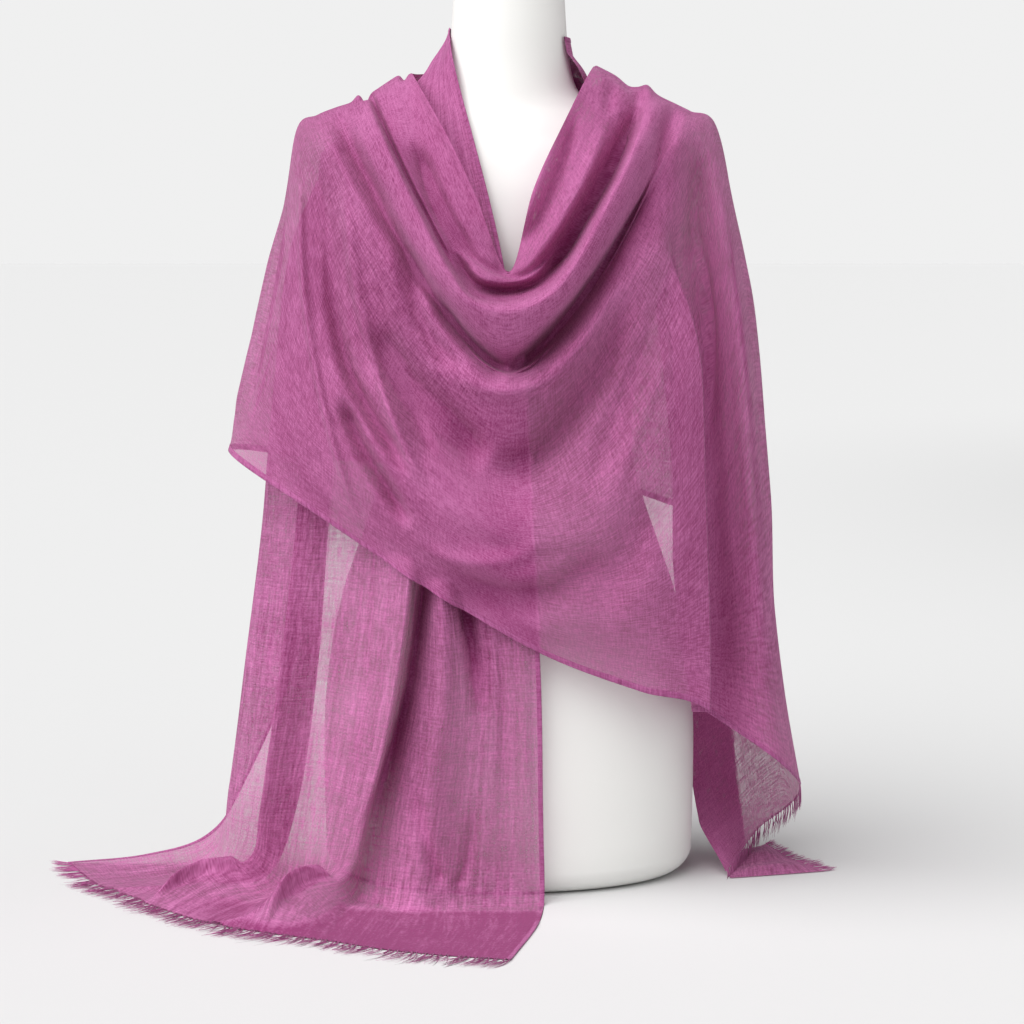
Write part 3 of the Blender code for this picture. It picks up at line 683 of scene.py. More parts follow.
def weave_group():
    """Loose plain weave of fine wool: colour, cover and height of its threads from the cloth's UV map."""
    group = bpy.data.node_groups.new("pashmina_weave", "ShaderNodeTree")
    face = group.interface
    for name, kind, value in (
        ("Deep Colour", "NodeSocketColor", (0.2, 0.02, 0.1, 1)),
        ("Light Colour", "NodeSocketColor", (0.6, 0.2, 0.4, 1)),
        ("Cover", "NodeSocketFloat", 0.62),
        ("Grain", "NodeSocketFloat", 0.36),
        ("Slub", "NodeSocketFloat", 0.1),
        ("Streak", "NodeSocketFloat", 1.0),
    ):
        face.new_socket(name, in_out="INPUT", socket_type=kind).default_value = value
    face.new_socket("Colour", in_out="OUTPUT", socket_type="NodeSocketColor")
    face.new_socket("Alpha", in_out="OUTPUT", socket_type="NodeSocketFloat")
    face.new_socket("Height", in_out="OUTPUT", socket_type="NodeSocketFloat")
    nodes, links = group.nodes, group.links
    given = nodes.new("NodeGroupInput")
    out = nodes.new("NodeGroupOutput")
    uv = add_node(nodes, "ShaderNodeUVMap", uv_map="cloth").outputs["UV"]

    def combine(operation, a, b):
        return math_node(nodes, links, operation, a, b)

    def plus(total, value, amount):
        return combine("ADD", total, combine("MULTIPLY", value, amount))

    def from_middle(value):
        return combine("SUBTRACT", value, 0.5)

    noise = {name: stretched_noise(nodes, links, uv, *levels) for name, levels in WEAVE_NOISES.items()}
    threads = plus(combine("MULTIPLY", noise["warp"], 0.58), noise["weft"], 0.42)
    slubs = combine("MAXIMUM", noise["warp_slub"], combine("MULTIPLY", noise["weft_slub"], 0.7))
    streak = combine("MULTIPLY", from_middle(noise["streak"]), given.outputs["Streak"])

    cover = plus(given.outputs["Cover"], from_middle(threads), given.outputs["Grain"])
    cover = plus(cover, slubs, given.outputs["Slub"])
    cover = plus(cover, from_middle(noise["cloud"]), 0.06)
    cover = plus(cover, streak, 0.07)
    links.new(combine("MINIMUM", combine("MAXIMUM", cover, 0.1), 1.0), out.inputs["Alpha"])

    tone = plus(combine("MULTIPLY", threads, 0.45), noise["nap"], 0.35)
    tone = plus(tone, noise["cloud"], 0.2)
    tone = plus(tone, streak, 0.3)
    # colour deepened by cover above 1: painted shade of the folds, of the swag over the left fall and of the
    # cloth lying on the floor
    above_one = combine("MAXIMUM", combine("SUBTRACT", given.outputs["Cover"], 1.0), 0.0)
    tone = combine("SUBTRACT", tone, above_one)
    colour = colour_mix(nodes, links, tone, given.outputs["Deep Colour"], given.outputs["Light Colour"])
    links.new(colour, out.inputs["Colour"])

    height = combine("ADD", combine("ADD", threads, noise["nap"]), slubs)
    links.new(height, out.inputs["Height"])
    return group


def pashmina_material(name, group, colours, through=0, cover=None, slub=0.1, streak=1.0):
    """Light wool cloth that lets some light through.

    Its cover is the piece's own cover attribute, unless a number is given. colours are the deep and the
    light one.
    """
    material, nodes, links = new_material(name)
    shader = nodes["Principled BSDF"]
    weave = nodes.new("ShaderNodeGroup")
    weave.node_tree = group
    weave.inputs["Deep Colour"].default_value = colours[0]
    weave.inputs["Light Colour"].default_value = colours[1]
    weave.inputs["Slub"].default_value = slub
    weave.inputs["Streak"].default_value = streak
    if cover is None:
        local = add_node(nodes, "ShaderNodeAttribute", attribute_name="cover")
        links.new(local.outputs["Fac"], weave.inputs["Cover"])
    else:
        weave.inputs["Cover"].default_value = cover
    normal = bump_normal(nodes, links, weave.outputs["Height"], 0.35, 0.0005)
    links.new(normal, shader.inputs["Normal"])
    links.new(weave.outputs["Colour"], shader.inputs["Base Color"])
    links.new(weave.outputs["Alpha"], shader.inputs["Alpha"])
    shader.inputs["Roughness"].default_value = 0.8
    shader.inputs["Specular IOR Level"].default_value = 0.12
    shader.inputs["Sheen Weight"].default_value = 0.15
    shader.inputs["Sheen Roughness"].default_value = 0.5
    shader.inputs["Sheen Tint"].default_value = SHEEN_TINT
    if through:
        glow = nodes.new("ShaderNodeBsdfTranslucent")
        glow.inputs["Color"].default_value = THROUGH_COLOUR
        both = nodes.new("ShaderNodeMixShader")
        both.inputs["Fac"].default_value = through
        links.new(shader.outputs[0], both.inputs[1])
        links.new(glow.outputs[0], both.inputs[2])
        links.new(both.outputs[0], nodes["Material Output"].inputs["Surface"])
    return material


def form_material():
    material, nodes, links = new_material("matte_white_form")
    shader = nodes["Principled BSDF"]
    place = nodes.new("ShaderNodeTexCoord").outputs["Object"]
    cloud = add_node(nodes, "ShaderNodeTexNoise", Scale=7.0, Detail=3.0)
    links.new(place, cloud.inputs["Vector"])
    links.new(colour_mix(nodes, links, cloud.outputs["Fac"], *FORM_WHITES), shader.inputs["Base Color"])
    grain = add_node(nodes, "ShaderNodeTexNoise", Scale=900.0, Detail=2.0)
    links.new(place, grain.inputs["Vector"])
    links.new(bump_normal(nodes, links, grain.outputs["Fac"], 0.12, 0.0003), shader.inputs["Normal"])
    shader.inputs["Roughness"].default_value = 0.5
    shader.inputs["Specular IOR Level"].default_value = 0.3
    return material


def paper_material():
    material, nodes, links = new_material("studio_paper")
    shader = nodes["Principled BSDF"]
    place = nodes.new("ShaderNodeTexCoord").outputs["Object"]
    mapping = add_node(nodes, "ShaderNodeMapping", vector_type="TEXTURE")
    mapping.inputs["Location"].default_value = PAINTED_PAPER_SHADOW[0]
    mapping.inputs["Scale"].default_value = PAINTED_PAPER_SHADOW[1]
    links.new(place, mapping.inputs["Vector"])
    # a soft shadow painted into the paper's colour, darkest at its centre
    painted_shadow = add_node(nodes, "ShaderNodeTexGradient", gradient_type="QUADRATIC_SPHERE")
    links.new(mapping.outputs["Vector"], painted_shadow.inputs["Vector"])
    links.new(colour_mix(nodes, links, painted_shadow.outputs["Fac"], *PAPER_GREY_AND_PAINTED_SHADOW), shader.inputs["Base Color"])
    shader.inputs["Roughness"].default_value = 0.9
    shader.inputs["Specular IOR Level"].default_value = 0.1
    return material


# ---------------------------------------------------------------- pieces
def build_form(material):
    """The dress form, from its rounded foot over the body to the rounded top of the neck."""
    half_width, half_depth = FORM_RINGS[0][1:]
    rings = []
    for turn in np.radians(np.linspace(0, 80, 9)):
        inset = FORM_EDGE_RADIUS * (1 - math.sin(turn))
        rings.append((FORM_EDGE_RADIUS * (1 - math.cos(turn)), half_width - inset, half_depth - inset))
    positions = np.linspace(0, len(FORM_RINGS) - 1, FORM_LEVELS)
    rings.extend(spline_matrix(positions, len(FORM_RINGS)) @ np.array(FORM_RINGS, float))
    half_width, half_depth = rings[-1][1:]
    for turn in np.radians(np.linspace(0, 90, 6)):
        inset = NECK_ROUND * (1 - math.cos(turn))
        rings.append((NECK_TOP - NECK_ROUND * (1 - math.sin(turn)), half_width - inset, half_depth - inset))
    turns = np.linspace(0, 2 * np.pi, FORM_SEGMENTS, endpoint=False)
    points = [[(a * math.cos(t), b * math.sin(t), height) for t in turns] for height, a, b in rings]
    faces = grid_faces(len(rings), FORM_SEGMENTS, closed=True)
    faces.append(tuple(range(FORM_SEGMENTS))[::-1])
    faces.append(tuple(range((len(rings) - 1) * FORM_SEGMENTS, len(rings) * FORM_SEGMENTS)))
    obj = add_piece("form", np.array(points).reshape(-1, 3) * MM, faces, material)
    return finish_piece(obj, "form_white", "dress_form")


def plan_depth(x, plan):
    """The y of a fold at x, on the rounded curve of its plan."""
    left, middle, right, depth, side = plan
    reach = (x - middle) / (np.where(x > middle, right, left) - middle)
    reach = np.minimum(np.abs(reach), 1)
    return side - (depth + side) * (1 - reach**PLAN_POWER) ** PLAN_SHARPNESS


def fold_plans():
    """Each fold seen from above: x of its left, middle and right, its depth and y at its ends."""
    plans = []
    for _, depth, side, *line in SWAG_FOLDS:
        plans.append((line[0][0], line[3][0], line[6][0], depth, side))
    return np.array(plans, float)


def swag_control():
    """The swag and the right fall, a row for each fold, from the left silhouette to the back selvedge."""
    rows = []
    for fold, plan, behind in zip(SWAG_FOLDS, fold_plans(), RIGHT_BACK):
        rows.append([*((x, float(plan_depth(x, plan)), z) for x, z in fold[3:]), *behind])
    return np.array(rows, float)


def swag_surface(control, rows, stations):
    """The front and the right side, doubled back on itself where the right panel's fold is."""
    last = RIGHT_SILHOUETTE_STATION - 1
    eased = np.where(stations < 1, 1 - np.cos(0.5 * np.pi * stations), stations)
    turning = (stations > last) & (stations < last + 1)
    beyond = stations - FOLD_STATION
    plain = np.where(turning, last + np.sin(0.5 * np.pi * beyond), eased)
    onward = np.sin(0.5 * np.pi * np.clip((beyond - FOLD_END) / (1 - FOLD_END), 0, 1))
    folded = np.where(turning, last + onward, eased)
    share = smooth_step((rows - FOLD_TOP_ROW) / 2)[:, None]
    blend = share[..., None]
    points = (1 - blend) * surface(control, rows, plain) + blend * surface(control, rows, folded)
    plans = spline_matrix(rows, len(SWAG_FOLDS)) @ fold_plans()
    front = stations < RIGHT_SILHOUETTE_STATION
    points[:, front, 1] = plan_depth(points[:, front, 0], [column[:, None] for column in plans.T])
    returned = smooth_step((beyond - FOLD_TURN) / (FOLD_END - FOLD_TURN))
    forward = smooth_step((onward - FOLD_HOLD) / (FOLD_REACH - FOLD_HOLD))
    set_back = smooth_step(beyond / FOLD_END) * (1 - forward)
    double_back = np.interp(rows, *FOLD_DOUBLE_BACK)[:, None]
    points[..., 0] -= share * double_back * (smooth_step(beyond / FOLD_TURN) - returned)
    points[..., 1] += share * FOLD_SET_BACK * set_back
    points[..., 2] -= share * FOLD_DROP * set_back
    return points


def selvedge_at(control, z):
    """The point of the right fall's back selvedge at a height."""
    edge = control[:, -1]
    order = np.argsort(edge[:, 2])
    return np.array([np.interp(z, edge[order, 2], edge[order, axis]) for axis in (0, 1)] + [z])


def part_way(shares, side, depth, middle_z):
    """A point of the back drape between its middle and the cloth at one side."""
    across, out, up = shares
    return np.array((across * side[0], out * depth, up * side[2] + (1 - up) * middle_z))


def back_control(swag):
    """The back drape, a row for each fold, from under the right fall round to the left silhouette."""
    rows = []
    for index, (right_z, middle_z, depth, left_depth) in enumerate(BACK_ROWS):
        left = swag[index, 0]
        right = selvedge_at(swag, right_z)
        under = right + np.array(UNDERLAP) * min(1, index / 3)
        right_blade = part_way(RIGHT_BLADE, right, depth, middle_z)
        right_blade[0] = min(BACK_RIGHT_X, right_blade[0])
        left_blade = part_way(LEFT_BLADE, left, left_depth, middle_z)
        left_side = part_way(LEFT_SIDE, left, left_depth, middle_z)
        middle = (0, depth, middle_z)
        rows.append((under, right - (0, 3, 0), right_blade, middle, left_blade, left_side, left))
    return np.array(rows, float)


def looser(points, places):
    """How much the weave is drawn open at each point: places of x, y, z, reach and amount, in mm."""
    total = np.zeros(points.shape[:-1])
    for *centre, reach, amount in places:
        total += amount * np.exp(-((np.linalg.norm(points - centre, axis=-1) / reach) ** 2))
    return total


NO_SHEET = 999.0  # stands for y where no sheet hangs
SHEET_LIMIT = 200  # y beyond this means that no sheet hangs near
SHEET_LOW = 180  # height below which a sheet may lie on the floor and isn't looked at
PUSH_EASE = 3
PUSH_MOST = 60


def neighbours(depth):
    """Nine copies of a grid, each moved by a cell at most."""
    padded = np.pad(depth, 1, constant_values=NO_SHEET)
    return [padded[i : i + depth.shape[0], j : j + depth.shape[1]] for i in range(3) for j in range(3)]


def front_of(points, step=3.0):
    """The foremost y of a sheet over a grid of x and z, as a function that gives it at other points."""
    hanging = points[points[..., 2] > SHEET_LOW]
    across = np.round(hanging[:, 0] / step).astype(int)
    up = np.round(hanging[:, 2] / step).astype(int)
    origin = across.min() - 3, up.min() - 3
    depth = np.full((across.max() - origin[0] + 4, up.max() - origin[1] + 4), NO_SHEET)
    np.minimum.at(depth, (across - origin[0], up - origin[1]), hanging[:, 1])
    for _ in range(2):
        depth = np.minimum.reduce(neighbours(depth))
    for _ in range(4):
        smoothed = np.minimum(np.mean(neighbours(depth), axis=0), depth + 1)
        depth = np.where(depth == NO_SHEET, depth, smoothed)

    def look_up(places):
        i = np.clip(places[..., 0] / step - origin[0], 0, depth.shape[0] - 1.001)
        j = np.clip(places[..., 2] / step - origin[1], 0, depth.shape[1] - 1.001)
        a, b = i.astype(int), j.astype(int)
        s, t = i - a, j - b
        low_side = depth[a, b] * (1 - t) + depth[a, b + 1] * t
        high_side = depth[a + 1, b] * (1 - t) + depth[a + 1, b + 1] * t
        return low_side * (1 - s) + high_side * s

    return look_up


def in_front_of(points, sheet, front, gap):
    """Moves the front of a sheet forward, softly, until it is a gap clear of the sheet that it lies on."""
    limit = front_of(sheet)(points) - gap
    over = np.clip(points[..., 1] - limit + PUSH_EASE, 0, PUSH_MOST)
    push = over - PUSH_EASE * (1 - np.exp(-over / PUSH_EASE))
    push = np.where(limit > SHEET_LIMIT, 0, push)
    result = points.copy()
    result[..., 1] -= push * (share_facing(points, (0, -1, 0), 0.2) * front)
    return result


def wrap_cover(points, rows, stations):
    """Cover of the wrap at each point, from its looser places, folds and doubled layers, with painted shade
    in the folds and over the left fall.
    """
    x, y, z = np.moveaxis(points, -1, 0)
    rows = rows[:, None]
    gathered = smooth_step((GATHERED_ROW - rows) / 2.5)
    cover = CLOTH_COVER + (1 - CLOTH_COVER) * gathered - looser(points, WRAP_LOOSE)
    in_front = y < SWAG_FRONT_Y
    # painted shade in the swag's folds
    cover += SWAG_FOLD_PAINTED_SHADE * sunk_in_folds(points, SWAG_CREASES, [0, 2]) * in_front
    # left of the left fall's edge a denser look and painted shade, right of it a looser look
    beside = x - UNDER_EDGE[0] - UNDER_EDGE[1] * z
    single = smooth_step(beside / 5 + 0.5)
    layer_cover_and_shade = (1 - single) * DOUBLE_LAYER_AND_SHADE[0] * np.exp(-((beside / DOUBLE_LAYER_AND_SHADE[1]) ** 2))
    layer_cover_and_shade -= single * SINGLE_LAYER[0] * np.exp(-((beside / SINGLE_LAYER[1]) ** 2))
    cover += layer_cover_and_shade * smooth_step((UNDER_EDGE_TOP - z) / 90) * in_front
    folded = smooth_step((stations - FOLD_DENSE_START) / 0.06)
    folded *= smooth_step((FOLD_DENSE_END - stations) / 0.2)
    cover += FOLD_DENSE * folded * smooth_step((rows - GATHERED_ROW) / 1.5)
    turned_under = smooth_step((TURNED_UNDER[0] + TURNED_UNDER[1] * z - x) / 2.5)
    behind = smooth_step((stations - TURNED_UNDER_STATION) / 0.2)
    cover += TURNED_UNDER_DENSE * turned_under * behind * smooth_step(rows - TURNED_UNDER_ROW)
    return cover


def build_wrap(material, left_points):
    """The swag, the right fall and the back drape, in one piece of cloth, with each column's station."""
    swag = swag_control()
    rows = divided(*WRAP_ROW_PARTS)
    stations = divided(*WRAP_STATION_PARTS)
    front = swag_surface(swag, rows, stations)
    back = surface(back_control(swag), rows, np.linspace(0, 6, BACK_COLUMNS, endpoint=False))
    points = np.concatenate((back, front), axis=1)
    stations = np.concatenate((np.full(BACK_COLUMNS, -1.0), stations))
    points = clear_of_form(points, SWAG_FORM_GAP)
    points = add_creases(points, SWAG_CREASES, [0, 2], (0, -1, 0))
    points = in_front_of(points, left_points, smooth_step(stations / 0.3), SWAG_LEFT_GAP)
    points = add_creases(points, RIGHT_SIDE_CREASES, [1, 2], (1, 0, 0))
    points = add_creases(points, LEFT_SIDE_CREASES, [1, 2], (-1, 0, 0))
    points = add_creases(points, BACK_CREASES, [0, 2], (0, 1, 0))
    points = add_creases(points, SHOULDER_CREASES, [0, 1], (0, 0, 1))
    points = clear_of_form(points, CREASED_FORM_GAP)
    cover = wrap_cover(points, rows, stations)
    last_part = int(np.searchsorted(stations, OWN_LENGTHS_STATION))
    obj = cloth_piece("wrap", points, material, cover, last_part, turned=True)
    finish_piece(obj, "pashmina", "front_swag", "right_fall", "back_drape")
    return obj, points, stations


def neck_control():
    """The stretch behind the neck, a row for each height of its profile, from right to left."""
    rows = []
    for height, side, depth in NECK_PROFILE:
        row = []
        for step in range(NECK_STATIONS + 1):
            turn = math.radians(NECK_TURN[0] + (NECK_TURN[1] - NECK_TURN[0]) * step / NECK_STATIONS)
            share = NECK_RIGHT_SHARE if step < NECK_STATIONS / 2 else 1.0
            tilt = NECK_TILT * smooth_step((1 - step / NECK_STATIONS) * 1.6)
            drop = tilt * max(0, (height - NECK_TILT_FROM) / NECK_TILT_EASE)
            row.append((side * share * math.cos(turn), depth * math.sin(turn), height - drop))
        rows.append(row)
    return np.array(rows, float)


def left_control(neck):
    """The left fall, a column for each of its lines, from the neck down to the fringe."""
    columns = []
    for index, (line, train) in enumerate(zip(LEFT_HANGING, LEFT_TRAIN)):
        along = index / (len(LEFT_HANGING) - 1) * (len(NECK_PROFILE) - 1)
        shoulder = surface(neck, [along], [NECK_STATIONS])[0, 0]
        hanging = [(x, y, z) for (x, y), z in zip(line[2:], LEFT_HEIGHTS)]
        columns.append([shoulder, line[1], *hanging, *train])
    return np.array(columns, float).transpose(1, 0, 2)


def left_cover(points):
    """Cover of the left fall at each point, denser where it is gathered, with painted shade where it sinks
    into a fold or lies down.
    """
    x, y, z = np.moveaxis(points, -1, 0)
    gathered = smooth_step((z - GATHERED_HEIGHT) / 120)
    cover = CLOTH_COVER + (1 - CLOTH_COVER) * gathered - looser(points, LEFT_LOOSE)
    # painted shade in the left fall's folds
    cover += FOLD_PAINTED_SHADE * sunk_in_folds(points, LEFT_CREASES, [0, 2]) * (y < LEFT_FRONT_Y)
    foot = FOOT_LINE_Y + FOOT_LINE_SLOPE * np.clip(FOOT_LINE_X - x, 0, 200)
    # painted shade where the cloth lies on the floor
    lying_shade = smooth_step((LYING_HEIGHT - z) / 6) * smooth_step((foot - y) / 26) * smooth_step((x + 330) / 130)
    return cover + LYING_PAINTED_SHADE * lying_shade


def build_left(material):
    """The neck stretch and the left fall with its train, in one piece of cloth."""
    neck = neck_control()
    control = left_control(neck)
    across = np.linspace(0, len(LEFT_HANGING) - 1, LEFT_COLUMNS)
    neck_rows = across / (len(LEFT_HANGING) - 1) * (len(NECK_PROFILE) - 1)
    neck_stations = np.linspace(0, NECK_STATIONS, NECK_COLUMNS, endpoint=False)
    neck_points = surface(neck, neck_rows, neck_stations).transpose(1, 0, 2)
    fall = surface(control, np.linspace(0, len(control) - 1, LEFT_ROWS), across)
    points = np.concatenate((neck_points, fall), axis=0)
    gap = np.interp(points[..., 2], NECK_GAP_HEIGHTS, (LEFT_FORM_GAP, NECK_FORM_GAP))
    points = clear_of_form(points, gap)
    points = add_creases(points, LEFT_CREASES, [0, 2], (0, -1, 0))
    points = add_creases(points, TRAIN_CREASES, [0, 1], (0, 0, 1))
    points = clear_of_form(points, NECK_FORM_GAP)
    obj = cloth_piece("left_fall_cloth", points, material, left_cover(points))
    finish_piece(obj, "pashmina", "neck_stretch", "left_fall")
    return obj, points


def build_tail(material):
    """The corner of the right end that lies on the floor."""
    control = np.array([((*a, 1), b, (*c, 1)) for a, b, c in TAIL_LINES], float)
    points = surface(control, np.linspace(0, 4, 50), np.linspace(0, 2, 50))
    obj = cloth_piece("tail_cloth", points, material, np.full(points.shape[:2], TAIL_COVER))
    finish_piece(obj, "pashmina", "right_tail")
    return obj, points


# ---------------------------------------------------------------- hems and threads, in mm
HEM_CLEARANCE = 0.3  # least height of a hem over the floor
THREAD_CLEARANCE = 0.15  # and of a thread
STITCH_LENGTH = 3.4
STITCH_SLANT = 1.1
STITCH_RADIUS = 0.42
STRAND_ROOT = 1.5  # how much of each strand of the fringe lies in the cloth
STRAND_RADII = (0.25, 0.48)
STRAND_COUNTS = (6, 10)  # strands in a bundle: at least the first, fewer than the second
FRINGE_INSET = 0.4  # between an end of the edge and the first bundle
# least and most, as shares of the fringe's own spacing, length or lean
GAP_SPREAD = (0.55, 1.55)
BUNDLE_WIDTHS = (0.18, 0.36)
BUNDLE_LENGTHS = (0.72, 1.12)
STRAND_LENGTHS = (0.8, 1.08)
BUNDLE_LEANS = (0.5, 1.3)


def along_cloth(points, distance):
    """The points of a sheet a distance in mm up from its last row, column by column."""
    up = points[::-1].transpose(1, 0, 2)
    travelled = distance_along(points[::-1]).T
    return np.array([values_at(distance, *column) for column in zip(travelled, up)])


def build_hem(name, points, width, material):
    """A rolled hem: the last few millimetres of a sheet, folded over double with a soft round edge."""
    normal = outward_normals(points)[-1]
    edge = points[-1]
    inward = along_cloth(points, 1.0) - edge
    inward /= np.maximum(np.linalg.norm(inward, axis=-1, keepdims=True), 1e-6)
    upper = ((width, 0.12), (width - 0.3, 0.42), (0.6 * width, 0.5), (0.9, 0.62), (0.0, 0.5))
    lower = [(distance, -lift) for distance, lift in reversed(upper)]
    rows = []
    for distance, lift in (*upper, (-0.4, 0.0), *lower):
        base = along_cloth(points, distance) if distance > 0 else edge + inward * distance
        rows.append(base + normal * lift)
    rows = np.array(rows)
    rows[..., 2] = np.maximum(rows[..., 2], HEM_CLEARANCE)
    uv = cloth_lengths(rows).reshape(-1, 2)
    obj = add_piece(name, rows.reshape(-1, 3) * MM, grid_faces(*rows.shape[:2]), material, uv)
    return finish_piece(obj, "pashmina")


def strand_mesh(roots, directions, bends, lengths, radii, segments=6, sides=3):
    """Vertices and faces of many tapered, curved threads. roots in mm; each curves towards its bend."""
    t = np.linspace(0, 1, segments + 1)
    path = roots[:, None] + lengths[:, None, None] * (
        directions[:, None] * t[None, :, None] + bends[:, None] * (t**2)[None, :, None]
    )
    tangent = np.gradient(path, axis=1)
    tangent /= np.linalg.norm(tangent, axis=-1, keepdims=True)
    helper = np.where(np.abs(tangent[..., 2:]) > 0.8, np.array((1.0, 0, 0)), np.array((0, 0, 1.0)))
    first = np.cross(tangent, helper)
    first /= np.linalg.norm(first, axis=-1, keepdims=True)
    second = np.cross(tangent, first)
    taper = radii[:, None] * (1 - 0.8 * t**1.5)[None, :]
    turns = np.arange(sides) * 2 * np.pi / sides
    ring = first[:, :, None] * np.cos(turns)[:, None] + second[:, :, None] * np.sin(turns)[:, None]
    vertices = path[:, :, None] + ring * taper[:, :, None, None]
    vertices[..., 2] = np.maximum(vertices[..., 2], THREAD_CLEARANCE)
    per_strand = (segments + 1) * sides
    faces = []
    for strand in range(len(roots)):
        base = strand * per_strand
        faces.append(tuple(base + side for side in range(sides))[::-1])
        for level in range(segments):
            low = base + level * sides
            for side in range(sides):
                after = (side + 1) % sides
                faces.append((low + side, low + after, low + sides + after, low + sides + side))
        faces.append(tuple(base + segments * sides + side for side in range(sides)))
    return vertices.reshape(-1, 3), faces


def build_fringe(name, edge, outward, lean, length, spacing, seed, material, node):
    """Eyelash fringe: little bundles of the cloth's own threads, with gaps of uneven width between them.

    edge is the row of points where the cloth ends, outward the way the threads leave it, lean the way they
    curve over, and length their length in mm, or a row of lengths evenly spaced along the edge.
    """
    given_lengths = np.atleast_1d(np.array(length, float))
    random = np.random.default_rng(seed)
    travelled = distance_along(edge)
    places = []
    here = FRINGE_INSET
    while here < travelled[-1] - FRINGE_INSET:
        places.append(here)
        here += spacing * random.uniform(*GAP_SPREAD)
    strands = []
    for place in places:
        share = place / travelled[-1] * (len(given_lengths) - 1)
        bundle_length = np.interp(share, range(len(given_lengths)), given_lengths)
        bundle_length *= random.uniform(*BUNDLE_LENGTHS)
        bundle_lean = lean * random.uniform(*BUNDLE_LEANS)
        turn = random.normal(0, 0.10)
        width = spacing * random.uniform(*BUNDLE_WIDTHS)
        out = values_at(place, travelled, outward)
        out /= np.linalg.norm(out)
        for _ in range(random.integers(*STRAND_COUNTS)):
            offset = random.uniform(-1, 1)
            root = values_at(np.clip(place + width * offset, 0, travelled[-1]), travelled, edge)
            side = values_at(place + 1, travelled, edge) - root
            side /= max(np.linalg.norm(side), 1e-6)
            start = root - out * STRAND_ROOT + (0, 0, random.uniform(0.1, 0.5))
            direction = out + side * (turn - 0.28 * offset) + random.normal(0, 0.03, 3)
            bend = bundle_lean + random.normal(0, 0.05, 3)
            strand_length = (bundle_length + STRAND_ROOT) * random.uniform(*STRAND_LENGTHS)
            strands.append((start, direction, bend, strand_length, random.uniform(*STRAND_RADII)))
    vertices, faces = strand_mesh(*(np.array(values) for values in zip(*strands)))
    obj = add_piece(name, vertices * MM, faces, material)
    return finish_piece(obj, "fringe", node)


def build_stitches(name, points, columns, pitch, material):
    """Slanted overcast stitches down the first columns of a sheet, each a short raised thread."""
    line = points[:, 0]
    travelled = distance_along(line)
    count = int(travelled[-1] / pitch)
    places = (np.arange(count) + 0.5) * pitch
    on_line = values_at(places, travelled, line)
    normal = values_at(places, travelled, outward_normals(points)[:, 0])
    across = values_at(places + STITCH_SLANT, travelled, points[:, columns]) - on_line
    across *= STITCH_LENGTH / np.maximum(np.linalg.norm(across, axis=1, keepdims=True), 1e-6)
    start = on_line + normal * 0.25
    radii = np.full(count, STITCH_RADIUS)
    vertices, faces = strand_mesh(start, across, normal * 0.2, np.ones(count), radii, segments=2, sides=4)
    obj = add_piece(name, vertices * MM, faces, material)
    return finish_piece(obj, "pashmina")


# ---------------------------------------------------------------- studio
FLOOR_RADIUS = 300.0
FLOOR_SIDES = 128
# turn from the front (left is below 0), height above the floor and width of the lamp, in degrees, then
# strength
LAMPS = (
    ("key", -50, 50, 72, 4.0),
    ("fill", 64, 24, 90, 0.7),
)
ROOM_LIGHT = 0.2
BACKDROP = (0.87, 0.87, 0.87, 1)
CAMERA_PLACE = (0.003, -2.6, 0.585)
CAMERA_LENS = 96.22
CAMERA_DOWN = 5.3  # degrees


def build_studio():
    turns = np.linspace(0, 2 * np.pi, FLOOR_SIDES, endpoint=False)
    rim = [(FLOOR_RADIUS * math.cos(turn), FLOOR_RADIUS * math.sin(turn), 0.0) for turn in turns]
    points = [(0.0, 0.0, 0.0), *rim]
    faces = [(0, 1 + side, 1 + (side + 1) % FLOOR_SIDES) for side in range(FLOOR_SIDES)]
    floor = add_piece("studio_floor", points, faces, paper_material())

    world = bpy.data.worlds.new("studio")
    bpy.context.scene.world = world
    world.use_nodes = True
    nodes, links = world.node_tree.nodes, world.node_tree.links
    room = nodes["Background"]
    room.inputs["Color"].default_value = (1.0, 1.0, 1.0, 1)
    room.inputs["Strength"].default_value = ROOM_LIGHT
    backdrop = nodes.new("ShaderNodeBackground")
    backdrop.inputs["Color"].default_value = BACKDROP
    seen = nodes.new("ShaderNodeMixShader")
    links.new(nodes.new("ShaderNodeLightPath").outputs["Is Camera Ray"], seen.inputs["Fac"])
    links.new(room.outputs[0], seen.inputs[1])
    links.new(backdrop.outputs[0], seen.inputs[2])
    links.new(seen.outputs[0], nodes["World Output"].inputs["Surface"])

    for name, turn, height, width, strength in LAMPS:
        light = bpy.data.lights.new(name, "SUN")
        light.energy = strength
        light.angle = math.radians(width)
        lamp = bpy.data.objects.new(name, light)
        bpy.context.scene.collection.objects.link(lamp)
        lamp.rotation_euler = (math.radians(90 - height), 0, math.radians(turn))


def build_camera():
    camera = bpy.data.cameras.new("camera")
    camera.sensor_width = 36.0
    camera.lens = CAMERA_LENS
    obj = bpy.data.objects.new("camera", camera)
    obj.location = CAMERA_PLACE
    obj.rotation_euler = (math.radians(90 - CAMERA_DOWN), 0, 0)
    bpy.context.scene.collection.objects.link(obj)
    bpy.context.scene.camera = obj


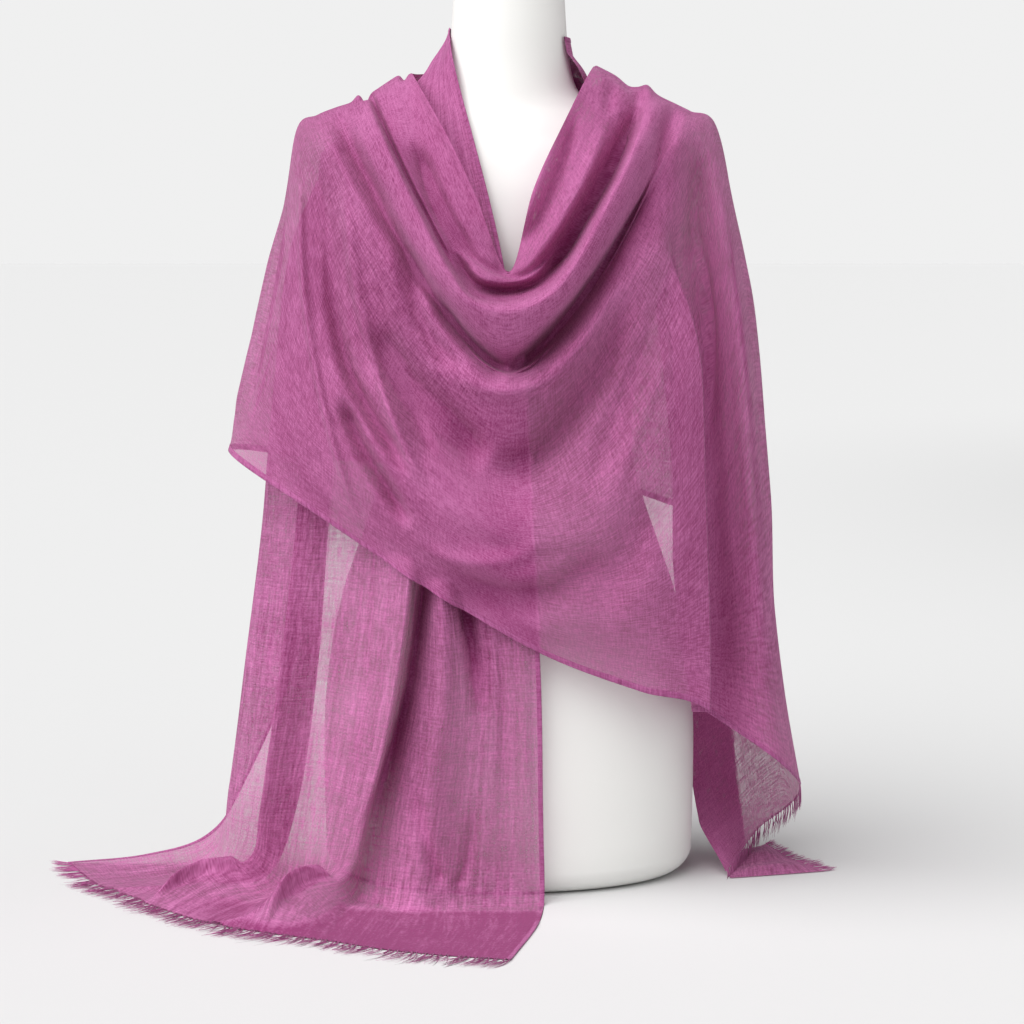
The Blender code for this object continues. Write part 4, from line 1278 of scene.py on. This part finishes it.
build_camera()
build_studio()
bpy.context.scene.view_settings.view_transform = "Standard"

weave = weave_group()
pashmina = pashmina_material("mulberry_pashmina", weave, MULBERRY, through=0.08)
smoother = pashmina_material(
    "mulberry_pashmina_smooth", weave, MULBERRY, through=0.13, slub=0.06, streak=0.14
)
hem_cloth = pashmina_material("mulberry_hem", weave, HEM_MULBERRY, cover=0.9)
thread = pashmina_material("mulberry_thread", weave, MULBERRY, cover=1.0)

form = build_form(form_material())
left, left_points = build_left(pashmina)
wrap, wrap_points, wrap_stations = build_wrap(smoother, left_points)
tail, tail_points = build_tail(pashmina)

long_side = wrap_stations <= RIGHT_SILHOUETTE_STATION
wrap_hem = build_hem("wrap_hem", wrap_points[:, long_side], 5.5, hem_cloth)
left_hem = build_hem("left_fall_hem", left_points.transpose(1, 0, 2)[::-1], 4.0, hem_cloth)
left_outer_hem = build_hem("left_fall_outer_hem", left_points.transpose(1, 0, 2), 3.0, hem_cloth)
stitches = build_stitches("selvedge_stitches", left_points, 4, 2.1, thread)

left_out = (left_points[-1] - left_points[-4]) * (0.3, 1, 0)
left_fringe = build_fringe(
    "left_fringe_threads",
    left_points[-1],
    left_out,
    lean=np.array((-0.38, 0.1, 0.0)),
    length=(33, 33, 32, 30, 24, 13),
    spacing=6.4,
    seed=11,
    material=thread,
    node="left_fringe",
)
short_side = wrap_stations >= RIGHT_SILHOUETTE_STATION
right_out = wrap_points[-1, short_side] - wrap_points[-3, short_side]
right_fringe = build_fringe(
    "right_fringe_threads",
    wrap_points[-1, short_side],
    right_out,
    lean=np.array((-0.25, 0.0, -0.3)),
    length=15,
    spacing=4.4,
    seed=23,
    material=thread,
    node="right_fringe",
)
tail_out = (tail_points[:, -1] - tail_points[:, -3]) * (1, 1, 0)
tail_fringe = build_fringe(
    "tail_fringe_threads",
    tail_points[:, -1],
    tail_out,
    lean=np.array((0.1, 0.15, 0.0)),
    length=14,
    spacing=5.0,
    seed=37,
    material=thread,
    node="tail_fringe",
)
